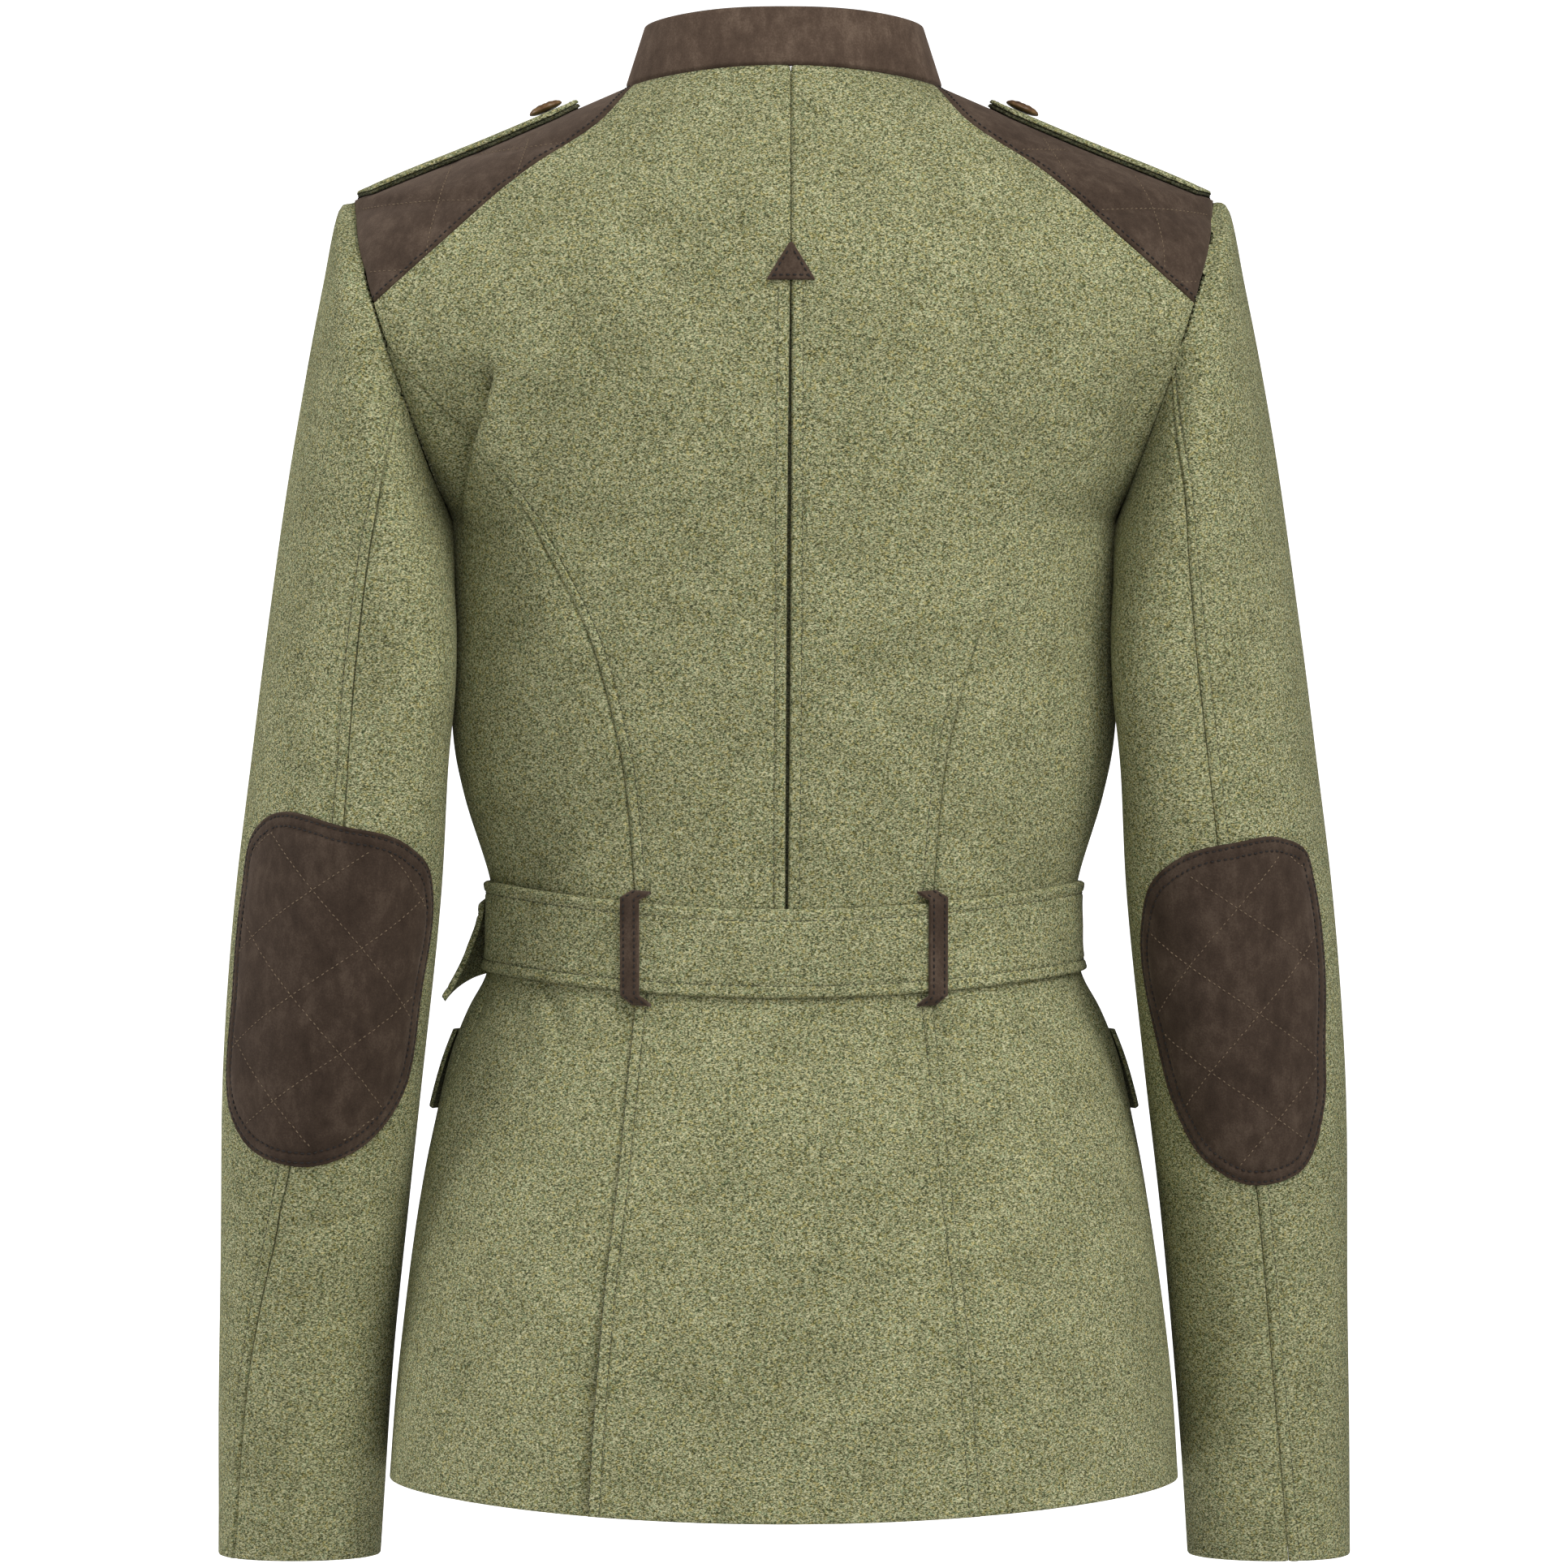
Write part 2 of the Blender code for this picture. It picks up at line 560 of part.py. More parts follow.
def make_yokes(collection):
    """Quilted suede yokes over the shoulders."""
    for side, word in ((1, "left"), (-1, "right")):
        place = yoke_place(side)
        wall(collection, "yoke_" + word, "suede", GRID["yoke"], place, -CLOTH, yoke_puff(place))


def collar_place(u, v):
    """Stand collar round the neck from the right front end to the left one."""
    turn = (2 * u - 1) * (1 - COLLAR_OPEN)
    part = 2 * np.abs(turn)
    side = np.sign(turn)
    foot = np.zeros((len(u), 3))
    head = np.zeros((len(u), 3))
    for face, mask in (("b", part <= 1), ("f", part > 1)):
        sigma = np.where(part <= 1, part, 2 - part)[mask] * side[mask]
        foot[mask] = torso(face, sigma, np.full(mask.sum(), float(TOP)))
        head[mask] = collar_head(face, sigma)
    rise = COLLAR_FOOT + v * (1 - COLLAR_FOOT)
    points = foot + (head - foot) * rise.reshape(-1, 1)
    return points, collar_outward(points, head - foot)


def collar_head(face, sigma):
    """Top ring of the collar."""
    key_y, key_z = centre_keys(face)
    angle = np.abs(sigma) * math.pi / 2
    top = COLLAR_TOP
    x = np.sign(sigma) * top["side_x"] * np.sin(angle) ** COLLAR_POWER
    y = top["side_y"] + (top[key_y] - top["side_y"]) * np.cos(angle) ** COLLAR_POWER
    z = top[key_z] + (top["side_z"] - top[key_z]) * np.sin(angle) ** 2
    return np.stack([x, y, z], axis=-1)


def collar_outward(points, upward):
    """Outward direction of the collar wall, level round the neck."""
    round_neck = points * np.array([1.0, NECK_ROUND, 0.0])
    along = np.cross(round_neck, np.array([0.0, 0.0, 1.0]))
    outward = np.cross(unit(upward), unit(along))
    flip = np.sign(np.sum(outward * round_neck, axis=-1, keepdims=True))
    return unit(outward * flip)


def armhole(psi):
    """Ring of the armhole: 0 at the shoulder tip, back at a quarter turn, underarm at half."""
    span = LEVEL["tip"] - LEVEL["underarm"]
    part = np.where(psi <= np.pi, psi / np.pi, 2 - psi / np.pi)
    level = LEVEL["tip"] - span * part
    back = (psi <= np.pi).reshape(-1, 1)
    return np.where(back, edge_point("b", level), edge_point("f", level))


def plain_ring(psi, ring):
    """Oval ring of the sleeve at a fractional ring number."""
    value = {key: smooth_column(RING[key], ring) for key in RING_COLUMNS}
    outer = np.stack([value["ox"], value["oy"], value["oz"]], axis=-1)
    inner = np.stack([value["ix"], value["iy"], value["iz"]], axis=-1)
    points = (outer + inner) / 2 + (outer - inner) / 2 * np.cos(psi).reshape(-1, 1)
    points[:, 0] += value["lead"] * np.sin(psi) ** 2
    points[:, 1] += value["depth"] * np.sin(psi)
    return points


def sleeve(psi, ring):
    """Left sleeve surface, exact on the armhole and oval below the cap."""
    psi = np.mod(psi, 2 * np.pi)
    fade = np.clip(1 - ring / ARMHOLE_FADE, 0, 1) ** 2
    start = armhole(psi) - plain_ring(psi, np.zeros_like(ring))
    return plain_ring(psi, ring) + start * fade.reshape(-1, 1)


def sleeve_at(side, psi, ring, step=SLOPE_STEP):
    """Sleeve points with outward directions, mirrored for the right sleeve."""
    points = sleeve(psi, ring)
    around = sleeve(psi + step, ring) - sleeve(psi - step, ring)
    down = sleeve(psi, np.minimum(ring + step, CUFF)) - sleeve(psi, np.maximum(ring - step, 0))
    outward = unit(np.cross(down, around))
    mirror = np.array([side, 1.0, 1.0])
    return points * mirror, outward * mirror


def sleeve_place(side, seam, start_turn, end_turn, rows):
    """Sleeve panel between two seams, each a function of the ring number."""
    def place(u, v):
        ring = rows(v)
        psi = start_turn(seam(ring)) + (end_turn(seam(ring)) - start_turn(seam(ring))) * u
        top = np.zeros_like(psi)
        speed = np.linalg.norm(sleeve(psi, top + SLOPE_STEP) - sleeve(psi, top), axis=-1) / SLOPE_STEP
        ring = np.maximum(ring, SEAM / speed)
        return sleeve_at(side, psi, ring)
    return place


def make_sleeves(collection):
    """Two-piece sleeves."""
    rows = spread(SLEEVE_ROWS)
    gap = SEAM / 2 / SLEEVE_RADIUS
    front = math.radians(FRONT_SEAM)
    for side, word in ((1, "left"), (-1, "right")):
        turns = np.radians(np.array(BACK_SEAM[word], float))
        seam = (lambda ring, t=turns: smooth_column(t, ring))
        upper = sleeve_place(side, seam, lambda a: 0 * a + front - 2 * math.pi + gap,
                             lambda a: a - gap, rows)
        wall(collection, "sleeve_upper_" + word, "loden", GRID["sleeve_upper"], upper, -CLOTH, 0.0)
        under = sleeve_place(side, seam, lambda a: a + gap, lambda a: 0 * a + front - gap, rows)
        wall(collection, "sleeve_under_" + word, "loden", GRID["sleeve_under"], under, -CLOTH, 0.0)


def ring_at(psi, z, ring):
    """Ring number where the sleeve has a height, from a first guess."""
    for _ in range(RING_TRIES):
        miss = sleeve(psi, ring)[:, 2] - z
        ring = np.clip(ring + miss / RING_PITCH, 0, CUFF)
    return ring


def find_on_sleeve(x, z):
    """Turn and ring of the sleeve's back where it shows at x and z."""
    heights = RING["oz"] / 2 + RING["iz"] / 2
    rings = np.arange(len(RINGS), dtype=float)
    ring = np.interp(-z, -heights, rings)
    for _ in range(RING_TRIES):
        low = plain_ring(np.full_like(ring, math.pi), ring)
        high = plain_ring(np.zeros_like(ring), ring)
        part = (2 * x - low[:, 0] - high[:, 0]) / (high[:, 0] - low[:, 0])
        psi = np.arccos(np.clip(part, -1, 1))
        ring = ring_at(psi, z, ring)
    return psi, ring


def quilt(x, z):
    """Low puff of the quilted diamonds."""
    lean = math.radians(QUILT_LEAN)
    one = (x * math.cos(lean) + z * math.sin(lean)) / QUILT_SIDE * math.pi
    two = (x * math.cos(lean) - z * math.sin(lean)) / QUILT_SIDE * math.pi
    return QUILT_PUFF * np.abs(np.sin(one) * np.sin(two))


def edge_line(corners):
    """Edge of a patch as turn and height, even along its length."""
    x, z = np.array(corners).T
    length = np.concatenate([[0], np.cumsum(np.hypot(np.diff(x), np.diff(z)))])
    turn = find_on_sleeve(x, z)[0]
    line = np.stack([turn, z], axis=-1)
    return lambda t: np.stack([np.interp(t * length[-1], length, part) for part in line.T], axis=-1)


def patch_place(side, edges):
    """Patch filled in between its four edges on the sleeve."""
    top, bottom, outer, inner = (edge_line(edges[key]) for key in ("top", "bottom", "outer", "inner"))

    def place(u, v):
        a = u.reshape(-1, 1)
        b = v.reshape(-1, 1)
        flat = (1 - b) * top(u) + b * bottom(u) + (1 - a) * outer(v) + a * inner(v)
        ends = (1 - b) * ((1 - a) * top(0 * u) + a * top(0 * u + 1))
        ends = ends + b * ((1 - a) * bottom(0 * u) + a * bottom(0 * u + 1))
        turn, z = (flat - ends).T
        guess = np.interp(-z, -(RING["oz"] + RING["iz"]) / 2, np.arange(len(RINGS)))
        return sleeve_at(side, turn, ring_at(turn, z, guess))
    return place


def make_patches(collection):
    """Suede elbow patches on the sleeves."""
    for side, word in ((1, "left"), (-1, "right")):
        place = patch_place(side, PATCH[word])

        def puff(u, v, place=place):
            points, outward = place(u, v)
            return REST + SUEDE + quilt(points[:, 0], points[:, 2])
        wall(collection, "elbow_patch_" + word, "suede", GRID["patch"], place, REST, puff)


def belt_path(t):
    """Way of the belt: face, sigma and layer for t from 0 at the front round to the tail end."""
    round_body = np.clip(t, 0, 1) * 4
    tail = np.clip(t - 1, 0, 1) * 4
    front_out = np.where(t <= 1, np.where(round_body < 1, round_body, round_body - 4), tail)
    face_front = (t > 1) | (round_body < 1) | (round_body > 3)
    back = 2 - round_body
    layer = np.clip((t - BELT_CLIMB[0]) / (BELT_CLIMB[1] - BELT_CLIMB[0]), 0, 1)
    return face_front, np.where(face_front, front_out, back), layer * layer * (3 - 2 * layer)


def belt_place(u, v):
    """Belt strip: u along it from the centre front, v from its lower to its upper edge."""
    t = u * (1 + TAIL_END / 4)
    face_front, sigma, layer = belt_path(t)
    level = LEVEL["belt_low"] + 2 * v
    points = np.zeros((len(u), 3))
    outward = np.zeros((len(u), 3))
    for face, mask in (("f", face_front), ("b", ~face_front)):
        points[mask], outward[mask] = body_at(face, sigma[mask], level[mask])
    near_front = np.clip(1 - np.abs(points[:, 0]) / BELT_EASE, 0, 1) ** BELT_EASE_POWER
    over_front = np.where(face_front, LAP, 0.0) * near_front
    lift = over_front + layer * (BELT_WALL + SEAM + REST)
    splay = np.clip((t - 1) * 4 / TAIL_END - TAIL_REACH, 0, 1) / (1 - TAIL_REACH)
    lift = lift + TAIL_SPLAY * splay ** 2 * (1 - v)
    points = points + outward * lift.reshape(-1, 1)
    points[:, 2] -= TAIL_DROOP * splay ** 2 * (2 - v)
    return points, outward


def make_belt(collection):
    """Belt with its tail, and the two loops that carry it."""
    wall(collection, "belt", "loden", GRID["belt"], belt_place, REST, REST + BELT_WALL)
    for side, word in ((1, "left"), (-1, "right")):
        wall(collection, "belt_loop_" + word, "suede", GRID["loop"], loop_place(side), 0.0, SUEDE)


def loop_place(side):
    """Belt loop: sewn above and below the belt and bowed out over it."""
    reach = BELT_WALL + 2 * REST

    def place(u, v):
        bow = np.interp(v, LOOP_STATIONS, LOOP_BOW)
        level = np.interp(v, LOOP_STATIONS, LOOP_LEVELS)
        x = side * (LOOP_X - LOOP_RETURN * (1 - bow) + (u - 0.5) * LOOP_WIDE)
        points, outward = body_at("b", sigma_at("b", x, level), level)
        return points + outward * (REST + reach * bow).reshape(-1, 1), outward
    return place


def ridge_sigma(face, level, half):
    """Sigma of a line that runs beside the shoulder ridge."""
    depth = np.abs(column(centre_keys(face)[0], level) - column(face + "y", level))
    part = np.clip(half / depth, 0, 1) ** (1 / column(face + "_pow", level))
    return np.arccos(part) / (math.pi / 2)


def epaulette_place(side):
    """Epaulette along the ridge, narrowing to its rounded end at the neck."""
    def place(u, v):
        start, end = EPAULETTE_SPAN
        level = start + (end - start) * v
        narrow = np.clip((v - EPAULETTE_NARROW) / (1 - EPAULETTE_NARROW), 0, 1) ** 2
        half = EPAULETTE_HALF + (EPAULETTE_TIP - EPAULETTE_HALF) * narrow
        points = np.zeros((len(u), 3))
        outward = np.zeros((len(u), 3))
        for face, mask in (("b", u <= 0.5), ("f", u > 0.5)):
            off = np.abs(2 * u[mask] - 1) * half[mask]
            sigma = ridge_sigma(face, level[mask], off)
            points[mask], outward[mask] = body_at(face, side * sigma, level[mask])
        return points, outward
    return place


def button(collection, name, spot, outward, size):
    """Round braided leather button lying on a spot."""
    radius, thick = size
    mesh = bmesh.new()
    bmesh.ops.create_cone(mesh, cap_ends=True, segments=BUTTON_EDGES, radius1=radius * MM,
                          radius2=radius * BUTTON_TAPER * MM, depth=thick * MM)
    data = bpy.data.meshes.new(name)
    mesh.to_mesh(data)
    mesh.free()
    thing = add_object(name, data, "button_leather", collection)
    thing.rotation_mode = "QUATERNION"
    thing.rotation_quaternion = Vector((0, 0, 1)).rotation_difference(Vector(outward))
    thing.location = Vector((spot + outward * (thick / 2)) * MM)
    return thing


def make_epaulettes(collection):
    """Epaulettes with their buttons."""
    high = REST + EPAULETTE_WALL
    for side, word in ((1, "left"), (-1, "right")):
        wall(collection, "epaulette_" + word, "loden", GRID["epaulette"], epaulette_place(side), REST, high)
        level = np.array([EPAULETTE_BUTTON])
        points, outward = body_at("b", np.array([float(side)]), level)
        spot = points[0] + outward[0] * (high + REST)
        button(collection, "epaulette_button_" + word, spot, outward[0], SMALL_BUTTON)


def flap_place(side):
    """Pocket flap on the front of the hip, standing off at its lower edge."""
    def place(u, v):
        low, high = FLAP_LEVELS
        sigma = FLAP_SPAN[0] + (FLAP_SPAN[1] - FLAP_SPAN[0]) * u
        level = low + (high - low) * v
        points, outward = body_at("f", side * sigma, level)
        lift = REST + FLAP_STAND * (1 - v) ** FLAP_CURL
        return points + outward * lift.reshape(-1, 1), outward
    return place


def make_trim(collection):
    """Pocket flaps, back tab and buttons of the fronts and belt."""
    for side, word in ((1, "left"), (-1, "right")):
        place = flap_place(side)
        wall(collection, "pocket_flap_" + word, "loden_shade", GRID["flap"], place, 0.0, FLAP_WALL)
    wall(collection, "back_tab", "suede", GRID["tab"], tab_place, REST, REST + SUEDE)
    for number, z in enumerate(FRONT_BUTTON_Z, 1):
        points, outward = body_at("f", np.array([0.0]), np.array([level_at(z, "cf_z")]))
        spot = points[0] + outward[0] * (LAP + REST)
        button(collection, "front_button_%d" % number, spot, outward[0], FRONT_BUTTON)
    points, outward = body_at("f", np.array([BELT_BUTTON_AT]), np.array([float(LEVEL["waist"])]))
    spot = points[0] + outward[0] * (LAP + 2 * BELT_WALL + SEAM + 3 * REST)
    button(collection, "belt_button", spot, outward[0], FRONT_BUTTON)


def tab_place(u, v):
    """Suede triangle at the head of the pleat, its point up."""
    level = level_at(TAB_TOP_Z) + (level_at(TAB_BASE_Z) - level_at(TAB_TOP_Z)) * v
    wide = TAB_POINT + (TAB_WIDE - TAB_POINT) * v
    x = PLEAT_TOP_X + (u - 0.5) * wide
    return body_at("b", sigma_at("b", x, level), level)


def main():
    """Build the jacket."""
    clear_scene()
    collection = bpy.data.collections.new(NAME)
    bpy.context.scene.collection.children.link(collection)
    make_backs(collection)
    make_skirt(collection)
    make_fronts(collection)
    make_yokes(collection)
    wall(collection, "collar", "suede", GRID["collar"], collar_place, -COLLAR_WALL, 0.0)
    make_sleeves(collection)
    make_patches(collection)
    make_belt(collection)
    make_epaulettes(collection)
    make_trim(collection)


main()
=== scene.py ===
"""Looks of the loden hunting jacket: cloth shells, suede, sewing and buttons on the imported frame."""
import math

import bpy
import numpy as np
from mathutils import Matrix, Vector


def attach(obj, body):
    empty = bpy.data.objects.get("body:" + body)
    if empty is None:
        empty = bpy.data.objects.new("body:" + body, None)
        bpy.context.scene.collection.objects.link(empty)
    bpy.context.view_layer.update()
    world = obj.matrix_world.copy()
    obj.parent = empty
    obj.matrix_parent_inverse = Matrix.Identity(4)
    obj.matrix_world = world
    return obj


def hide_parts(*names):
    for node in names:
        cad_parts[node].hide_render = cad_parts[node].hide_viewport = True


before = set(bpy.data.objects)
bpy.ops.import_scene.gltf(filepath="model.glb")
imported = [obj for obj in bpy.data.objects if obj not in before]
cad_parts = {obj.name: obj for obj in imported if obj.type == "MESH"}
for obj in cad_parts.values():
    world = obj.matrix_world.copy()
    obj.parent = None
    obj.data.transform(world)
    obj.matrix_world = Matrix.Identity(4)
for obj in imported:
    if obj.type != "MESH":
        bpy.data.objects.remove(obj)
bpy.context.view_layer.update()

MM = 0.001
BODY = "root"
SIDES = ((1, "left"), (-1, "right"))

# Walls and clearances, in millimetres
CLOTH = 2.0
SUEDE = 1.5
COLLAR_WALL = 3.0
BELT_WALL = 2.8
EPAULETTE_WALL = 3.6
FLAP_WALL = 2.0
SEAM = 0.3
REST = 0.5
LAP = CLOTH + REST

# Body levels from hem to neck: centre back, centre front, back edge and front edge,
# then the power of each quarter section and how far it turns (degrees) at its edge.
LEVEL_COLUMNS = ("name", "cb_y", "cb_z", "cf_y", "cf_z", "bx", "by", "bz", "fx", "fy", "fz",
                 "b_pow", "f_pow", "b_turn", "f_turn")
LEVELS = (
    ("hem", 133, -599, -124, -597, 174.5, 6, -590, 174.5, 6, -590, 0.95, 0.95, 90, 90),
    ("skirt_low", 128, -548, -121, -546, 171.0, 6, -543, 171.0, 6, -543, 0.95, 0.95, 90, 90),
    ("skirt_mid", 120, -495, -117, -492, 164.3, 6, -488, 164.3, 6, -488, 0.97, 0.97, 90, 91),
    ("hip", 110, -454, -112, -450, 157.0, 6, -446, 157.0, 6, -446, 1.0, 1.0, 90, 96),
    ("hip_high", 97, -418, -106, -413, 145.5, 6, -408, 145.5, 6, -408, 1.0, 1.0, 90, 104),
    ("hip_top", 87, -392, -101, -388, 134.0, 5, -383, 134.0, 5, -383, 1.0, 1.0, 90, 108),
    ("belt_low", 82, -376, -98, -372, 130.0, 3, -366, 130.0, 3, -366, 1.0, 1.0, 90, 100),
    ("waist", 80, -356, -97, -352, 129.3, 2, -346, 129.3, 2, -346, 1.0, 1.0, 90, 90),
    ("belt_top", 81, -337, -98, -332, 130.3, 2, -325.5, 130.3, 2, -325.5, 1.0, 1.0, 90, 90),
    ("ribs", 88, -297, -110, -292, 141.6, 2, -288, 141.6, 2, -288, 1.0, 1.0, 90, 90),
    ("chest", 94, -263, -118, -259, 147.0, 1, -257, 147.0, 1, -257, 0.98, 1.0, 90, 90),
    ("bust", 101, -217, -123, -213, 147.3, 0, -211, 147.3, 0, -211, 0.96, 1.0, 90, 90),
    ("underarm", 105, -172, -124, -170, 147.3, 0, -166, 147.3, 0, -166, 0.93, 1.0, 90, 90),
    ("arm_low", 107, -134, -121, -142, 155.5, 38, -143, 155.0, -36, -140, 0.93, 1.0, 82, 82),
    ("arm_mid", 107, -95, -112, -112, 173.0, 63, -93, 163.0, -54, -100, 0.9, 0.95, 74, 74),
    ("arm_high", 103, -56, -102, -95, 186.5, 42, -50, 181.0, -36, -52, 1.0, 1.0, 80, 80),
    ("tip", 93, -22, -93, -80, 190.5, -3, -24, 190.5, -3, -24, 1.12, 1.12, 90, 90),
    ("shoulder", 75, 6, -83, -63, 131.0, 1, -0.8, 131.0, 1, -0.8, 1.1, 1.1, 90, 90),
    ("neck", 54, 31, -72, -45, 70.5, 5, 24.5, 70.5, 5, 24.5, 1.0, 1.0, 90, 90),
)
LEVEL = {row[0]: number for number, row in enumerate(LEVELS)}
TABLE = {key: np.array([row[k] for row in LEVELS]) for k, key in enumerate(LEVEL_COLUMNS) if k}
CORNERS = (LEVEL["underarm"], LEVEL["tip"])
EDGE_COLUMNS = ("bx", "by", "bz", "fx", "fy", "fz")
TOP = LEVEL["neck"]
FINE_LEVELS = 400
SLOPE_STEP = 0.004

# Folds of the body: face, place on the photo's plane, reach, lean (degrees) and push in y
FOLD_COLUMNS = ("face", "x", "z", "wide", "tall", "lean", "push")
FOLDS = (
    ("b", 127, -142, 12, 40, -18, 5.0),
    ("b", 147, -124, 10, 30, -20, -7.0),
    ("b", -148, -146, 9, 36, 15, -5.0),
    ("b", 103, -398, 8, 17, 0, 3.5),
    ("b", -100, -398, 9, 17, 0, 2.0),
)
EDGE_HOLD = 10

# Rows of the panels as level numbers
SKIRT_ROWS = (0, 0.8, 1.6, 2.4, 3.1, 3.8, 4.4, 5, 5.5, 6)
WAIST_GAP = 0.01
BODY_ROWS = (8, 8.5, 9, 10, 10.5, 11, 12, 12.5, 13, 13.5)
PLEAT_ROWS = (15, 16, 17, 17.98)
YOKE_STEPS = (0.4, 0.8, 1.2, 1.58, 2.08, 2.58, 3.08, 3.58)

# Seams as level number and distance from the centre plane
YOKE_CORNER = LEVEL["arm_mid"] + 0.42
PRINCESS_TOP = LEVEL["arm_mid"] + 0.03
YOKE_ROWS = tuple(YOKE_CORNER + step for step in YOKE_STEPS)
PRINCESS_END = 0.995
PRINCESS = (("waist", 64.0), ("belt_top", 65.0), ("ribs", 68.0), ("chest", 73.0), ("bust", 86.5),
            ("underarm", 110.0), ("arm_low", 133.0))
SKIRT_SEAM = (("hem", 83.5), ("skirt_low", 80.5), ("skirt_mid", 76.5), ("hip", 72.0),
              ("hip_high", 68.5), ("hip_top", 66.0), ("belt_low", 64.5), ("waist", 64.0))
YOKE_FRONT = (("arm_high", 152.0), ("tip", 128.0), ("shoulder", 96.0), ("neck", 66.0))

# Back yoke seam as (x, z) on the photo's plane, from near the armhole to the neck
YOKE_BACK = ((154.0, -51.0), (110.8, -13.0), (83.4, 5.6), (67.0, 25.1))
SEAM_TRIES = 40
ARC_SHARE = 1.2
PLEAT_TOP_X = -3.0
PLEAT_WAIST_X = -0.8
PLEAT_GAP = 1.6
PLEAT_HALF = 22.0
LAP_UNDER = 20.0
LAP_BLEND = 8.0
LAP_COLUMNS = ((0, 0.2), (0.2, 0.3), (0.3, 1))
FRONT_LAP = 20.0
FRONT_BLEND = 34.0

# Sleeve rings from armhole to cuff: outer and inner points, depth, forward lead of the sides
RING_COLUMNS = ("ox", "oy", "oz", "ix", "iy", "iz", "depth", "lead")
RINGS = (
    (190.5, -3, -24, 147.3, 0, -166, 60, 2),
    (197.8, -3.5, -28.5, 145.6, 11, -171, 62.8, 7),
    (204.0, -0.5, -60, 145.0, 21, -181, 62.5, 8),
    (211.3, 0, -98, 144.8, 30, -195, 60, 5),
    (219.5, 0, -148, 143.6, 36, -217, 57, 2),
    (228.0, 0, -207, 144.3, 38, -243, 54, 0),
    (235.0, 1, -264, 147.6, 34, -276, 52, 0),
    (243.0, 3, -331, 151.0, 24, -331, 51, 0),
    (248.4, 2, -403, 158.6, 13, -403, 49, 0),
    (250.2, -6, -475, 167.2, -2, -475, 46, 0),
    (251.6, -17, -547, 174.6, -17, -547, 43, 0),
    (253.2, -32, -627.5, 180.6, -32, -627.5, 40, 0),
)
RING = {key: np.array([row[k] for row in RINGS], float) for k, key in enumerate(RING_COLUMNS)}
CUFF = len(RINGS) - 1
ARMHOLE_FADE = 3.0
BACK_SEAM = {"left": (107, 112.6, 110.3, 102.7, 94, 90, 91.5, 93, 87, 71, 51, 39),
             "right": (102, 110.6, 110.5, 105.2, 101, 99, 99, 97, 94, 90, 86, 79)}
FRONT_SEAM = 255.0
SLEEVE_RADIUS = 45.0
RING_TRIES = 5
SLEEVE_ROWS = (0, 0.5, 1, 1.7, 2.5, 3.3, 4.1, 5, 6, 6.7, 7.4, 8.1, 8.8, 9.5, 10.2, 11)
RING_PITCH = 70.0

# Elbow patches: the four edges as (x, z) from outer to inner, or from top to bottom
PATCH = {
    "left": {"top": ((224.9, -297.2), (191.3, -301.4), (163.3, -310.3)),
             "bottom": ((240.9, -432.5), (234.8, -441.7), (211.0, -450.5), (188.8, -444.2),
                        (169.0, -420.8)),
             "outer": ((224.9, -297.2), (231.3, -303.2), (237.7, -331.5), (241.6, -372.6),
                       (240.9, -432.5)),
             "inner": ((163.3, -310.3), (156.2, -319.5), (154.8, -331.5), (159.7, -372.6),
                       (169.0, -420.8))},
    "right": {"top": ((227.4, -311.7), (214.0, -306.0), (198.0, -308.1), (171.1, -315.9)),
              "bottom": ((235.9, -427.2), (225.6, -453.0), (203.0, -458.3), (184.5, -447.3),
                         (173.2, -427.2)),
              "outer": ((227.4, -311.7), (231.6, -325.5), (236.3, -358.4), (236.6, -396.7),
                        (235.9, -427.2)),
              "inner": ((171.1, -315.9), (161.2, -325.5), (157.3, -345.7), (164.7, -396.7),
                        (173.2, -427.2))},
}

# Quilting of the patches: one crossing of the lines, and the two sides of a diamond, as (x, z)
QUILT_NODE = {"left": (184.3, -354.2), "right": (206.8, -383.1)}
QUILT_FIRST = (28.5, -21.0)
QUILT_SECOND = (-23.0, -25.2)
QUILT_PUFF = 0.9
QUILT_REACH = 4
QUILT_RADIUS = 46.0
QUILT_TURN = 1.4
QUILT_TALL = 115.0
QUILT_LIFT = 5.0

# Quilting of the yokes: lines as (x, z) from the neck outwards, or from the ridge down
YOKE_LINES = {
    "left": (((95.3, -2.7), (110.8, -4.0), (134.8, -5.4)),
             ((126.7, -29.0), (150.3, -28.1), (187.4, -29.3)),
             ((162.5, -59.5), (182.3, -59.7)),
             ((111.9, 0.7), (113.9, -7.5), (118.0, -20.1), (119.5, -22.5)),
             ((146.2, -10.0), (150.8, -28.1), (154.7, -45.6), (155.7, -54.7))),
    "right": (((103.1, -6.0), (124.4, -4.4)),
              ((137.0, -33.1), (163.3, -31.3), (187.5, -32.0)),
              ((168.9, -64.8), (185.5, -63.8)),
              ((113.5, 1.8), (117.0, -4.9), (123.6, -17.1), (125.9, -21.6)),
              ((154.1, -14.8), (161.5, -31.7), (165.3, -50.4), (165.6, -60.9))),
}

# Collar top ring: centre back, side and centre front, and the gap at the front
COLLAR_TOP = {"cb_y": 47.0, "cb_z": 58.0, "side_x": 61.5, "side_y": 2.0, "side_z": 53.0,
              "cf_y": -66.0, "cf_z": -15.0}
COLLAR_OPEN = 0.015
COLLAR_FOOT = 0.02
COLLAR_POWER = 0.85
NECK_ROUND = 1.2

